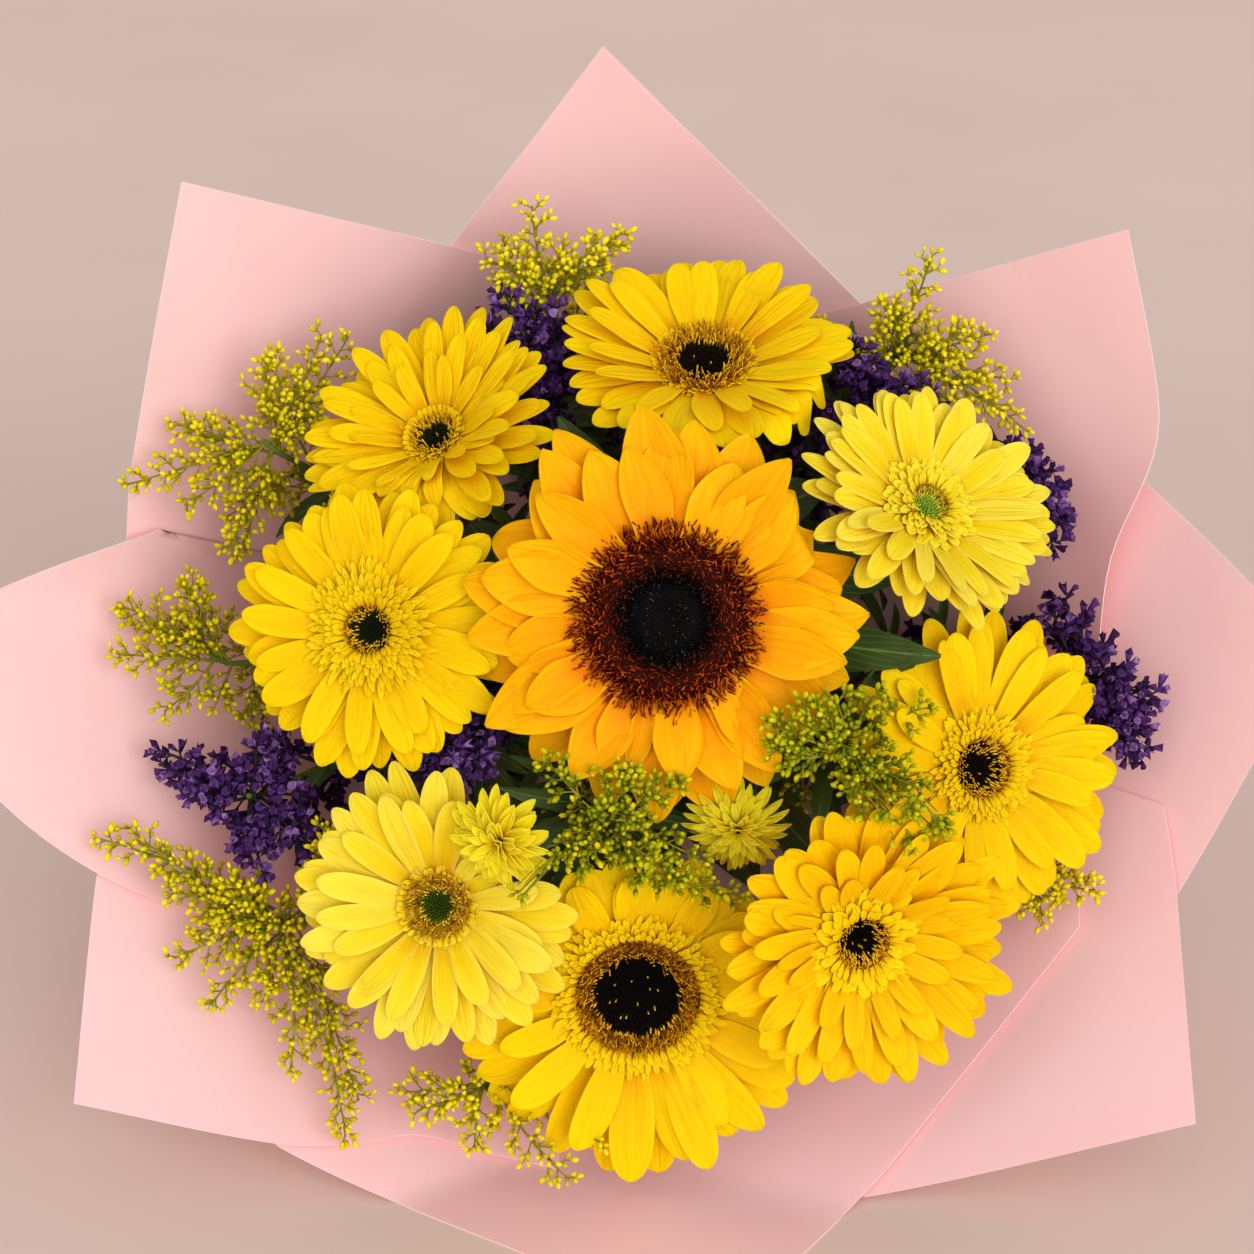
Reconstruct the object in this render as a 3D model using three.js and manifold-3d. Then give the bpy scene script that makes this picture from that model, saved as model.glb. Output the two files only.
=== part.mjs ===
// A wrapped, hand-tied bunch of flowers that lies on a table with its blooms toward the viewer:
// one sunflower in the middle, eight gerberas, two small chrysanthemums, goldenrod, statice,
// eight sheets of wrapping paper and the twine that ties them. Millimetres, +Z up.
//
// Everything is laid out in the bunch's own frame: u to the right, v up and w toward the
// viewer, along the axis of the bunch, with its zero at the middle of the sunflower's face.
// Places are given as they are seen from the viewing point, as (u, v) on the plane w = 0,
// with their depth w.

import * as THREE from 'three';
import Module from 'manifold-3d';
import { mergeVertices } from 'three/addons/utils/BufferGeometryUtils.js';

const wasm = await Module();
wasm.setup();

// ---------------------------------------------------------------- driving dimensions

const degree = Math.PI / 180;
const lieAngle = 27 * degree; // how far the bunch's axis rises toward the viewer
const viewDistance = 1120; // from the sunflower's face to the viewing point
const gap = 0.3; // between two pieces that touch

const neck = { front: -296, back: -318, paperRadius: 14.8 }; // where the stems are tied
const cutDepth = -455; // the cut ends of the stems
const cutSpread = 0.75; // how much wider than the neck the stems spread at their ends

const stemSteps = 4; // straight lengths in the bend of a stem
const hold = { outer: 0.14, inner: 0.6 }; // how long a stem keeps straight, as a share of its way
const stemRadius = { sunflower: 5.5, gerbera: 2.75, filler: 1.25 };
const slotRing = 8.6; // the circle on which the gerberas' stems cross the neck

const discRadius = 31.6; // the sunflower's disc of florets
const sunflowerRoot = 34; // where its petals begin

// Blooms: place as seen, depth, reach of the petals, direction and angle of the tilt,
// radius of the eye, reach of the short florets, rise and droop of the petals, and the blooms
// that it lies behind. Petals toward a crowded direction are short.
const sunflower = {
  name: 'sunflower', u: 15, v: 3, depth: 0, reach: 74, heading: 250, tilt: 3,
  rise: 8, droop: -10, seed: 3, behind: ['gerbera_h'],
};
const gerberas = [
  { name: 'gerbera_a', u: 29, v: 98, depth: -50, reach: 55, heading: 90, tilt: 44, eye: 12.5,
    fringe: 20, rise: 15, droop: -12, slot: 79, seed: 11, behind: ['sunflower', 'gerbera_h'] },
  { name: 'gerbera_b', u: -71, v: 70, depth: -48, reach: 50, heading: 127, tilt: 38, eye: 7,
    fringe: 15, rise: 17, droop: -10, slot: 126, seed: 12, behind: ['sunflower', 'gerbera_c'] },
  { name: 'gerbera_c', u: -96, v: -1, depth: -25, reach: 53, heading: 180, tilt: 12, eye: 7.6,
    fringe: 28, rise: 12, droop: -14, slot: 166, seed: 13, behind: ['sunflower'] },
  { name: 'gerbera_d', u: -71, v: -105, depth: -22, reach: 53, heading: 215, tilt: 12, eye: 7,
    fringe: 17, rise: 14, droop: -8, slot: 210, seed: 14, behind: ['mum_left'], crowded: 46 },
  { name: 'gerbera_e', u: 4, v: -138, depth: -32, reach: 62, heading: 270, tilt: 20, eye: 19,
    fringe: 36, rise: 12, droop: -12, slot: 252, seed: 15, behind: ['gerbera_d', 'gerbera_f'] },
  { name: 'gerbera_f', u: 87, v: -117, depth: -8, reach: 57, heading: 310, tilt: 25, eye: 8.5,
    fringe: 34, rise: 14, droop: -8, slot: 316, seed: 16, behind: [] },
  { name: 'gerbera_g', u: 132, v: -53, depth: -44, reach: 57, heading: 355, tilt: 22, eye: 9.5,
    fringe: 25, rise: 12, droop: -12, slot: 356, seed: 17,
    behind: ['gerbera_f', 'sunflower', 'gerbera_h'] },
  { name: 'gerbera_h', u: 111, v: 43, depth: -30, reach: 52, heading: 50, tilt: 37, eye: 5.5,
    fringe: 16, rise: 16, droop: -12, slot: 34, seed: 18, behind: [] },
];
const mums = [
  { name: 'mum_right', u: 42, v: -76, depth: -16, reach: 19, heading: 270, tilt: 30,
    rise: 34, droop: -20, slot: 293, seed: 21, behind: ['sunflower'] },
  { name: 'mum_left', u: -48, v: -81, depth: 6, reach: 19, heading: 225, tilt: 36,
    rise: 34, droop: -20, slot: 238, seed: 22, behind: [] },
];

// Sprays: the angle of the stem in the neck, the crown where the twigs part, and the tips
// that they reach, each as (u, v, depth). A spray in front lies over the blooms near it.
const goldenrod = [
  { name: 'goldenrod_top', slot: 114, crown: [-28, 122, -86],
    tips: [[-36, 158, -62], [-52, 139, -66], [-12, 150, -70], [-2, 146, -80]], seed: 31 },
  { name: 'goldenrod_top_right', slot: 67, crown: [100, 104, -92],
    tips: [[115, 138, -60], [128, 111, -66], [140, 84, -62], [148, 76, -70]], seed: 3217 },
  { name: 'goldenrod_left_high', slot: 150, crown: [-132, 66, -84],
    tips: [[-137, 104, -66], [-106, 106, -78], [-188, 54, -66], [-170, 78, -70],
      [-150, 28, -72]], seed: 3309 },
  { name: 'goldenrod_left', slot: 173, crown: [-150, -14, -84],
    tips: [[-168, 16, -60], [-194, -10, -62], [-176, -30, -66], [-190, 8, -66]], seed: 34 },
  { name: 'goldenrod_low_left', slot: 219, crown: [-126, -112, -74],
    tips: [[-198, -84, -48], [-172, -102, -48], [-172, -122, -52], [-158, -144, -46],
      [-107, -190, -42], [-128, -164, -44], [-114, -80, -34]], seed: 35 },
  { name: 'goldenrod_bottom', slot: 254, crown: [-52, -168, -62],
    tips: [[-58, -196, -38], [-22, -208, -32], [-78, -182, -40]], seed: 3603 },
  { name: 'goldenrod_middle', slot: 279, crown: [-8, -72, -24], inner: true, front: true,
    tips: [[-28, -52, -2], [-12, -84, 14], [10, -86, 16], [20, -60, 6], [-24, -86, 12]], seed: 3705 },
  { name: 'goldenrod_right', slot: 326, crown: [82, -44, -24], inner: true, front: true,
    tips: [[66, -28, 2], [98, -22, 0], [112, -62, 6], [116, -72, 12], [84, -64, 22],
      [60, -50, 8]], seed: 3831 },
  { name: 'goldenrod_low_right', slot: 348, crown: [152, -92, -82],
    tips: [[176, -100, -60], [158, -108, -60], [170, -88, -66]], seed: 3902 },
];
const statice = [
  { name: 'statice_top', slot: 102, crown: [-30, 84, -84], inner: true,
    tips: [[-28, 112, -66], [-46, 108, -70], [-38, 62, -58], [-20, 92, -60], [-50, 84, -70]],
    seed: 4102 },
  { name: 'statice_top_right', slot: 55, crown: [86, 86, -84], inner: true,
    tips: [[104, 92, -60], [88, 104, -66], [68, 72, -56], [118, 86, -66]], seed: 4208 },
  { name: 'statice_right_high', slot: 14, crown: [152, 48, -84],
    tips: [[160, 58, -62], [166, 38, -62], [150, 66, -72]], seed: 4301 },
  { name: 'statice_right', slot: 0, crown: [174, -18, -84],
    tips: [[196, -38, -62], [203, -28, -62], [188, -18, -60], [162, 6, -66], [196, -50, -62]],
    seed: 4422 },
  { name: 'statice_left', slot: 201, crown: [-140, -64, -72],
    tips: [[-178, -52, -68], [-162, -60, -48], [-140, -40, -48], [-122, -76, -46],
      [-138, -94, -50]], seed: 4519 },
  { name: 'statice_middle', slot: 188, crown: [-66, -42, -54], inner: true,
    tips: [[-90, -56, -30], [-68, -46, -24], [-46, -36, -26], [-54, -56, -22], [-82, -38, -34]],
    seed: 4636 },
];

// Wrapping paper: the common flare of the sheets, from the neck outward, as (radius, depth).
const paper = { thickness: 0.6, pitch: 0.9, fan: 0.011, column: 15 };
const flare = [
  [neck.paperRadius, neck.back], [neck.paperRadius, neck.front], [165, -122], [215, -70],
  [250, -38], [300, -2], [345, 24],
];
// Each sheet: its layer, counted outward, its outer edge as seen, from corner to corner, and
// how far it is lifted off the table by what lies under it.
const sheets = [
  { name: 'paper_left', layer: 0, edge: [[-149, -113], [-196, -96], [-238, -66], [-285, -8],
    [-232, 17], [-177, 37], [-150, 24]] },
  { name: 'paper_upper_left', layer: 1, edge: [[-190, -6], [-188, 39], [-187, 56], [-168, 168],
    [-50, 139], [-26, 132]] },
  { name: 'paper_lower_left', layer: 1, lift: 1.1, edge: [[-26, -204], [-52, -198], [-79, -191],
    [-98, -194], [-130, -195], [-209, -180], [-200, -96], [-195, -76]] },
  { name: 'paper_upper_right', layer: 1, edge: [[62, 115], [90, 122], [189, 150], [200, 86],
    [198, 64], [182, 26], [177, -9]] },
  { name: 'paper_top', layer: 2, edge: [[-88, 112], [-9, 217], [115, 92]] },
  { name: 'paper_bottom', layer: 2, edge: [[169, -97], [169, -112], [123, -170], [89, -212],
    [34, -266], [-29, -239], [-130, -195], [-150, -172]] },
  { name: 'paper_lower_right', layer: 3, edge: [[199, -66], [201, -77], [204, -96], [213, -186],
    [89, -212], [78, -208]] },
  { name: 'paper_right', layer: 4, edge: [[172, 66], [193, 51], [256, -8], [205, -96],
    [188, -118]] },
];

// Twine: turns that lie side by side round the neck of the paper.
const twine = { radius: 1.6, turns: 2 };

// ---------------------------------------------------------------- colours

const finish = (color, roughness) => new THREE.MeshStandardMaterial({ color, roughness });
const colours = {
  sunflowerPetal: finish(0xf7a400, 0.55),
  sunflowerDisc: finish(0x4a1805, 0.9),
  sunflowerEye: finish(0x0a0706, 0.9),
  stem: finish(0x5d7a26, 0.6),
  yellowPetal: finish(0xf6c504, 0.5),
  orangePetal: finish(0xf9bb02, 0.5),
  palePetal: finish(0xf8e05a, 0.5),
  darkEye: finish(0x1c0f06, 0.8),
  greenEye: finish(0x6f7d22, 0.8),
  goldenrod: finish(0x9a8f16, 0.75),
  statice: finish(0x3d2468, 0.75),
  paper: finish(0xf4b8b6, 0.7),
  twine: finish(0xc8a77a, 0.9),
};
const petalColour = { gerbera_d: colours.palePetal, gerbera_h: colours.palePetal,
  gerbera_f: colours.orangePetal };
const eyeColour = { gerbera_b: colours.greenEye, gerbera_d: colours.greenEye,
  gerbera_h: colours.greenEye };

// ---------------------------------------------------------------- small helpers

const vec = (x, y, z) => new THREE.Vector3(x, y, z);
const lerp = THREE.MathUtils.lerp;
const turned = (angle) => vec(Math.cos(angle), Math.sin(angle), 0);

// A place given as seen, moved along its line of sight to its depth.
function seen([u, v, depth]) {
  const near = 1 - depth / viewDistance;
  return vec(u * near, v * near, depth);
}

// Repeatable random numbers between -1 and 1.
function shaker(seed) {
  let state = seed * 7919 + 17;
  return () => {
    state = (state * 16807) % 2147483647;
    return (state / 2147483647) * 2 - 1;
  };
}

// ---------------------------------------------------------------- growing a closed body

// A closed body that grows by pulling faces outward. A ring lists points counterclockwise
// when it is looked at against the direction of growth.
class Growth {
  constructor() {
    this.points = [];
    this.faces = new Set();
  }

  ring(points) {
    return points.map((point) => this.points.push(point) - 1);
  }

  face(corners) {
    this.faces.add(corners);
    return corners;
  }

  // Joins two rings; the upper one may have half as many points as the lower, or the reverse.
  band(lower, upper) {
    const count = Math.min(lower.length, upper.length);
    const quads = [];
    for (let i = 0; i < count; i += 1) {
      const j = (i + 1) % count;
      if (lower.length === upper.length) {
        // Diagonals lean both ways by turns, so the two faces of a thin blade are split alike.
        quads.push(this.face(i % 2 ? [lower[j], upper[j], upper[i], lower[i]]
          : [lower[i], lower[j], upper[j], upper[i]]));
      } else if (lower.length > upper.length) {
        const after = (2 * i + 2) % lower.length;
        this.face([lower[2 * i], lower[2 * i + 1], upper[i]]);
        this.face([lower[2 * i + 1], upper[j], upper[i]]);
        this.face([lower[2 * i + 1], lower[after], upper[j]]);
      } else {
        const after = (2 * i + 2) % upper.length;
        this.face([lower[i], upper[2 * i + 1], upper[2 * i]]);
        this.face([lower[i], lower[j], upper[2 * i + 1]]);
        this.face([lower[j], upper[after], upper[2 * i + 1]]);
      }
    }
    return quads;
  }

  // Pulls a face out through rings of points and closes the last one.
  pull(face, rings) {
    this.faces.delete(face);
    let last = face;
    const sides = [];
    for (const points of rings) {
      const next = this.ring(points);
      sides.push(this.band(last, next));
      last = next;
    }
    this.face(last);
    return sides;
  }

  // Pulls a face into a tube along a path, with a radius at each point of the path.
  sprout(face, path, radii) {
    const middle = this.middleOf(face);
    let arm = this.points[face[0]].clone().sub(middle);
    const rings = path.map((point, i) => {
      const before = i ? path[i - 1] : middle;
      const after = path[Math.min(i + 1, path.length - 1)];
      const along = after.clone().sub(before).normalize();
      arm.addScaledVector(along, -arm.dot(along)).normalize();
      return face.map((_, k) => arm.clone().applyAxisAngle(along, (k * 2 * Math.PI) / face.length)
        .multiplyScalar(radii[i]).add(point));
    });
    return this.pull(face, rings);
  }

  middleOf(face) {
    const sum = face.reduce((total, k) => total.add(this.points[k]), vec(0, 0, 0));
    return sum.divideScalar(face.length);
  }

  normalOf(face) {
    const [a, b, c] = face.map((k) => this.points[k]);
    return b.clone().sub(a).cross(c.clone().sub(a)).normalize();
  }

  geometry() {
    const corners = [];
    for (const face of this.faces) {
      for (let i = 1; i < face.length - 1; i += 1) {
        corners.push(this.points[face[0]], this.points[face[i]], this.points[face[i + 1]]);
      }
    }
    const geometry = new THREE.BufferGeometry().setFromPoints(corners);
    geometry.computeVertexNormals();
    return geometry;
  }
}

// A tube that stands on its own cut end, one edge toward the axis of the bunch, with the
// faces of each of its lengths.
function startTube(path, radii, sides) {
  const growth = new Growth();
  const along = path[1].clone().sub(path[0]).normalize();
  const inward = path[0].clone().setZ(0).addScaledVector(vec(1, 0, 0), -1e-6).negate().normalize();
  const arm = inward.addScaledVector(along, -inward.dot(along)).normalize();
  const points = Array.from({ length: sides }, (_, k) => arm.clone()
    .applyAxisAngle(along, (k * 2 * Math.PI) / sides).multiplyScalar(radii[0]).add(path[0]));
  const start = growth.ring(points);
  growth.face([...start].reverse());
  const lengths = growth.sprout(growth.face([...start]), path.slice(1), radii.slice(1));
  return { growth, lengths };
}

// Joins closed bodies that run into each other to one.
function joined(geometries) {
  const solids = geometries.map((geometry) => {
    geometry.deleteAttribute('normal');
    const merged = mergeVertices(geometry, 1e-4);
    return new wasm.Manifold(new wasm.Mesh({ numProp: 3,
      vertProperties: new Float32Array(merged.getAttribute('position').array),
      triVerts: new Uint32Array(merged.index.array) }));
  });
  const mesh = solids.reduce((sum, solid) => sum.add(solid)).getMesh();
  const geometry = new THREE.BufferGeometry();
  geometry.setAttribute('position', new THREE.BufferAttribute(mesh.vertProperties, 3));
  geometry.setIndex(new THREE.BufferAttribute(mesh.triVerts, 1));
  return geometry;
}

// ---------------------------------------------------------------- blooms

const blooms = new Map();
for (const bloom of [sunflower, ...gerberas, ...mums]) {
  const heading = bloom.heading * degree;
  const tilt = bloom.tilt * degree;
  const facing = turned(heading).multiplyScalar(Math.sin(tilt)).setZ(Math.cos(tilt));
  const side = vec(1, 0, 0).addScaledVector(facing, -facing.x).normalize();
  const up = facing.clone().cross(side);
  const centre = seen([bloom.u, bloom.v, bloom.depth]);
  const place = new THREE.Matrix4().makeBasis(side, up, facing).setPosition(centre);
  blooms.set(bloom.name, { ...bloom, facing, centre, place, inverse: place.clone().invert() });
}

// The radius at which the petals begin.
const rootRadius = (bloom) => (bloom.name === 'sunflower' ? sunflowerRoot
  : Math.max(bloom.reach * 0.24, (bloom.eye ?? 0) + 5.5));

// What lies behind or over a bloom keeps clear of a surface a little below its petals' middle.
const cover = { rise: -5, margin: 8 };

// How far the petals of a bloom stand over its own plane at a distance from its axis.
const petalHeight = (bloom, distance) => {
  const along = THREE.MathUtils.clamp(distance / bloom.reach, 0, 1);
  const slope = Math.tan((bloom.rise + cover.rise + (bloom.droop * along) / 2) * degree);
  return Math.max(0, distance - rootRadius(bloom)) * slope;
};

// How far back a point has to go to pass behind the blooms that cover it.
function retreat(point, behind, clearance) {
  const moved = point.clone();
  for (const name of behind) {
    const front = blooms.get(name);
    const local = moved.clone().applyMatrix4(front.inverse);
    const distance = Math.hypot(local.x, local.y);
    if (distance > front.reach + cover.margin) continue;
    const limit = petalHeight(front, distance) - clearance;
    const excess = local.z - limit;
    if (excess > 0) moved.addScaledVector(front.facing, -excess);
  }
  return moved;
}

// One ring of petals: the chain of points below it and above it, with a root face for each.
function petalRing(growth, bloom, ring, shake) {
  const { count, root, height, phase } = ring;
  const pitch = (2 * Math.PI) / count;
  const at = (turn, radius, level) => turned(turn).multiplyScalar(radius).setZ(level)
    .applyMatrix4(bloom.place);
  const turns = Array.from({ length: count }, (_, i) => (i + phase) * pitch);
  const lefts = growth.ring(turns.map((turn) => at(turn - pitch / 2, root, height)));
  const lows = growth.ring(turns.map((turn) => at(turn, root, height - ring.thick / 2)));
  const highs = growth.ring(turns.map((turn) => at(turn, root, height + ring.thick / 2)));
  turns.forEach((turn, i) => {
    const right = lefts[(i + 1) % count];
    const rootFace = growth.face([lefts[i], lows[i], right, highs[i]]);
    growth.pull(rootFace, petalSections(bloom, ring, turn, shake));
  });
  const chain = (middles) => lefts.flatMap((left, i) => [left, middles[i]]);
  // A ring whose phase is half a pitch on starts its chain at a middle, so that chains line up.
  const lined = (points) => (phase ? [points[points.length - 1], ...points.slice(0, -1)] : points);
  return { lower: lined(chain(lows)), upper: lined(chain(highs)) };
}

const crowding = { angle: 27 * degree, length: 0.4, width: 0.6 };
const variety = { length: 0.06, rise: 1.2, droop: 3, sway: 0.05 }; // from petal to petal

// The cross-sections of one petal: left edge, underside, right edge and top of its midrib.
function petalSections(bloom, ring, turn, shake) {
  const outward = turned(turn);
  const across = turned(turn + Math.PI / 2);
  const crowded = bloom.crowded !== undefined
    && outward.dot(turned(bloom.crowded * degree)) > Math.cos(crowding.angle);
  const length = ring.length * (1 + variety.length * shake())
    * (1 + (ring.stretch ?? 0) * -outward.y) * (crowded ? crowding.length : 1);
  const rise = (ring.rise + variety.rise * shake()) * degree;
  const droop = (ring.droop + variety.droop * shake()) * degree;
  const sway = variety.sway * shake();
  const sections = [];
  let radius = ring.root;
  let height = ring.height;
  let before = 0;
  for (const [share, width, thick] of ring.stations) {
    const slope = rise + droop * (share + before) * 0.5;
    radius += (share - before) * length * Math.cos(slope);
    height += (share - before) * length * Math.sin(slope);
    before = share;
    const rest = outward.clone().multiplyScalar(radius)
      .addScaledVector(across, sway * length * share * share).setZ(height);
    const above = outward.clone().multiplyScalar(-Math.sin(slope)).setZ(Math.cos(slope));
    const half = (ring.width / 2) * width * (crowded ? crowding.width : 1);
    const corner = (sideways, lift) => rest.clone().addScaledVector(across, sideways)
      .addScaledVector(above, lift);
    const curl = Math.min(ring.curl * half, 0.4 * thick); // the top stays over the two edges
    const corners = [corner(-half, curl), corner(0, -thick / 2), corner(half, curl),
      corner(0, thick / 2)].map((point) => point.applyMatrix4(bloom.place));
    const shift = corners.map((point) => retreat(point, bloom.behind, ring.clearance).sub(point))
      .reduce((most, step) => (step.length() > most.length() ? step : most));
    sections.push(corners.map((point) => point.add(shift)));
  }
  return sections;
}

// A level circle of points in a bloom's own plane.
function circle(growth, bloom, count, radius, height) {
  return growth.ring(Array.from({ length: count }, (_, i) => turned((i * 2 * Math.PI) / count)
    .multiplyScalar(radius).setZ(height).applyMatrix4(bloom.place)));
}

// Petals in their rings on a hub, with a recess for the eye where there is one.
function petalsGeometry(bloom, rings, hub) {
  const growth = new Growth();
  const shake = shaker(bloom.seed);
  const count = rings[0].count;
  const back = circle(growth, bloom, count, hub.backRadius, hub.back);
  growth.face([...back].reverse());
  let last = back;
  for (const ring of rings) {
    const { lower, upper } = petalRing(growth, bloom, ring, shake);
    growth.band(last, lower);
    last = upper;
  }
  const lip = circle(growth, bloom, count, hub.recess, hub.lip);
  growth.band(last, lip);
  const floor = circle(growth, bloom, count, hub.recess, hub.floor);
  growth.band(lip, floor);
  growth.face(floor);
  return growth.geometry();
}

// The radius of a many-sided recess that clears a round piece.
const clearOf = (radius, count) => (radius + gap) / Math.cos(Math.PI / count);

// Stations along a petal: share of its length, share of its width, thickness.
const petalStations = [[0.6, 1, 1.4], [1, 0.48, 0.8]];
const pointedStations = [[0.34, 0.84, 1.4], [0.68, 0.88, 1.2], [1, 0.1, 0.7]];
const shortStations = [[1, 0.6, 0.9]];

// Heights over a bloom's own plane: the back of its hub and the floor under its eye.
const gerberaHub = { back: -3, floor: 2 };
const sunflowerHub = { back: -6, floor: 0 };
const mumHub = { back: -2, floor: 4 };

function gerberaGeometry(bloom) {
  const root = rootRadius(bloom);
  const fringeRoot = (bloom.eye + root) / 2;
  const count = 12;
  const double = bloom.name === 'gerbera_f';
  const shared = { count, thick: 1.4, curl: 0.12, stations: petalStations,
    width: bloom.reach * 0.235, droop: bloom.droop,
    stretch: bloom.name === 'gerbera_e' ? 0.12 : 0 };
  const rings = [
    { ...shared, root, height: 0, phase: 0, length: bloom.reach - root, rise: bloom.rise - 3,
      clearance: 5 },
    { ...shared, root: root - 0.6, height: 2.2, phase: 0.5, length: (bloom.reach - root) * 0.93,
      rise: bloom.rise + 5, clearance: 3 },
    { ...shared, thick: 1.1, clearance: 4, curl: 0.1, root: fringeRoot, height: 4.4, phase: 0,
      stations: shortStations, stretch: 0, width: bloom.fringe * (double ? 0.34 : 0.26),
      length: bloom.fringe - fringeRoot + 3, rise: bloom.rise + 18, droop: -16 },
  ];
  const hub = { ...gerberaHub, backRadius: root * 0.8, recess: clearOf(bloom.eye, count), lip: 5.2 };
  return petalsGeometry(bloom, rings, hub);
}

function sunflowerGeometry(bloom) {
  const root = rootRadius(bloom);
  const shared = { count: 15, thick: 1.6, curl: 0.16, stations: pointedStations, width: 20,
    droop: bloom.droop };
  const rings = [
    { ...shared, root, height: 0, phase: 0, length: bloom.reach + 3 - root, rise: bloom.rise - 3,
      clearance: 5 },
    { ...shared, root: root - 0.8, height: 2.6, phase: 0.5, length: bloom.reach - 3 - root,
      rise: bloom.rise + 7, clearance: 3 },
  ];
  const hub = { ...sunflowerHub, backRadius: root * 0.9, recess: clearOf(discRadius, shared.count),
    lip: 4.4 };
  return petalsGeometry(bloom, rings, hub);
}

function mumGeometry(bloom) {
  const count = 9;
  const shared = { count, thick: 1.1, curl: 0.1, clearance: 4, stations: shortStations, width: 5.4,
    droop: bloom.droop };
  const rings = [
    { ...shared, root: 5, height: 0, phase: 0, length: 15, rise: bloom.rise - 22 },
    { ...shared, root: 4.4, height: 2, phase: 0.5, length: 13, rise: bloom.rise },
    { ...shared, root: 3.2, height: 3.6, phase: 0, length: 8.5, width: 4, rise: bloom.rise + 20 },
  ];
  const hub = { ...mumHub, backRadius: 3.6, recess: 1.6, lip: 4.8 };
  return petalsGeometry(bloom, rings, hub);
}

// A low dome of small florets in rings, raised and sunk by turns.
function domeGeometry(bloom, { count, radius, base, rim, rings, recess }) {
  const growth = new Growth();
  const bottom = circle(growth, bloom, count, radius, base);
  growth.face([...bottom].reverse());
  let last = bottom;
  for (const [share, height, relief] of [[1, rim, 0], ...rings]) {
    const points = Array.from({ length: count }, (_, i) => turned((i * 2 * Math.PI) / count)
      .multiplyScalar(radius * share).setZ(height + (i % 2 ? relief : -relief))
      .applyMatrix4(bloom.place));
    const next = growth.ring(points);
    growth.band(last, next);
    last = next;
  }
  if (recess) {
    const floor = circle(growth, bloom, count, recess.radius, recess.floor);
    growth.band(last, floor);
    last = floor;
  }
  growth.face(last);
  return growth.geometry();
}

// ---------------------------------------------------------------- stems

// The thin stems lie against the innermost sheet of paper at their angle.
function fillerSlot(slotAngle) {
  const outward = turned(slotAngle * degree);
  const covering = sheets.filter(({ edge }) => edgeRadius(edge, slotAngle * degree) > 0);
  const layer = Math.min(...covering.map((sheet) => sheet.layer));
  return outward.multiplyScalar(neck.paperRadius + paper.pitch * layer - stemRadius.filler - 2 * gap);
}

// From the cut end through the neck and then in one bend to the back of a bloom or a crown.
function stemPath(slot, head, arrival, holding) {
  const end = slot.clone().multiplyScalar(1 + cutSpread).setZ(cutDepth);
  const back = slot.clone().setZ(neck.back);
  const front = slot.clone().setZ(neck.front);
  const reach = front.distanceTo(head);
  const bend = new THREE.CubicBezierCurve3(front, front.clone().setZ(neck.front + reach * holding),
    head.clone().addScaledVector(arrival, -reach * 0.3), head);
  return [end, back, ...bend.getPoints(stemSteps)];
}

// A bloom's stem widens into its green calyx, which ends just under the hub.
function bloomStem(bloom, { slot, radius, sides, calyx, back, holding = hold.outer }) {
  const under = (depth) => bloom.centre.clone().addScaledVector(bloom.facing, back - gap - depth);
  const path = stemPath(slot, under(calyx.depth), bloom.facing, holding);
  const radii = path.map(() => radius);
  for (const [share, size] of calyx.profile) {
    path.push(under(calyx.depth * (1 - share)));
    radii.push(calyx.radius * size);
  }
  return { path, geometry: startTube(path, radii, sides).growth.geometry() };
}

const roundCalyx = [[0.35, 0.55], [0.75, 0.95], [1, 1]];

function gerberaStem(bloom) {
  const calyx = { depth: 14, radius: rootRadius(bloom) * 0.72, profile: roundCalyx };
  const slot = turned(bloom.slot * degree).multiplyScalar(slotRing);
  return bloomStem(bloom, { slot, radius: stemRadius.gerbera, sides: 5, calyx,
    back: gerberaHub.back }).geometry;
}

function mumStem(bloom) {
  const calyx = { depth: 6, radius: 3.4, profile: roundCalyx };
  return bloomStem(bloom, { slot: fillerSlot(bloom.slot), radius: stemRadius.filler, sides: 4,
    calyx, back: mumHub.back, holding: hold.inner }).geometry;
}

const leafThickness = { midrib: 1.3, tip: 0.7 };
const leafFold = 0.1; // depth of the midrib under the edges, as a share of half the width

// A leaf or a bract: a thin blade along a line, with a midrib, its root sunk in the stem.
function blade(line, widths, across) {
  const growth = new Growth();
  const sections = line.map((point, i) => {
    const along = line[Math.min(i + 1, line.length - 1)].clone()
      .sub(line[Math.max(i - 1, 0)]).normalize();
    const wide = across.clone().addScaledVector(along, -across.dot(along)).normalize();
    const above = along.clone().cross(wide);
    const thick = i === line.length - 1 ? leafThickness.tip : leafThickness.midrib;
    const fold = widths[i] * leafFold;
    return [point.clone().addScaledVector(wide, -widths[i]),
      point.clone().addScaledVector(above, -thick / 2 - fold),
      point.clone().addScaledVector(wide, widths[i]),
      point.clone().addScaledVector(above, thick / 2 - fold)];
  });
  const root = growth.ring(sections[0]);
  growth.face([...root].reverse());
  growth.pull(growth.face([...root]), sections.slice(1));
  return growth.geometry();
}

// Each leaf: the point of the stem's path that it grows from, half its width, and its midrib
// as seen.
const leaves = [
  { joint: 4, width: 8, line: [[30, 0, -58], [52, -2, -46], [88, -8, -30], [119, -11, -24]] },
  { joint: 4, width: 7, line: [[10, 16, -60], [2, 40, -52], [-14, 62, -44], [-26, 80, -42]] },
  { joint: 4, width: 7, line: [[4, -12, -66], [-12, -26, -62], [-34, -36, -58], [-52, -50, -62]] },
];
const petiole = 1.4; // half the width of a leaf's stalk

// The sunflower's bracts, by their stations: distance from its axis, height and half width.
const bracts = { count: 8, radius: [19, 42, 64], height: [-9.4, -9, -10.5], width: [8.5, 9, 0.8] };

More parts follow.
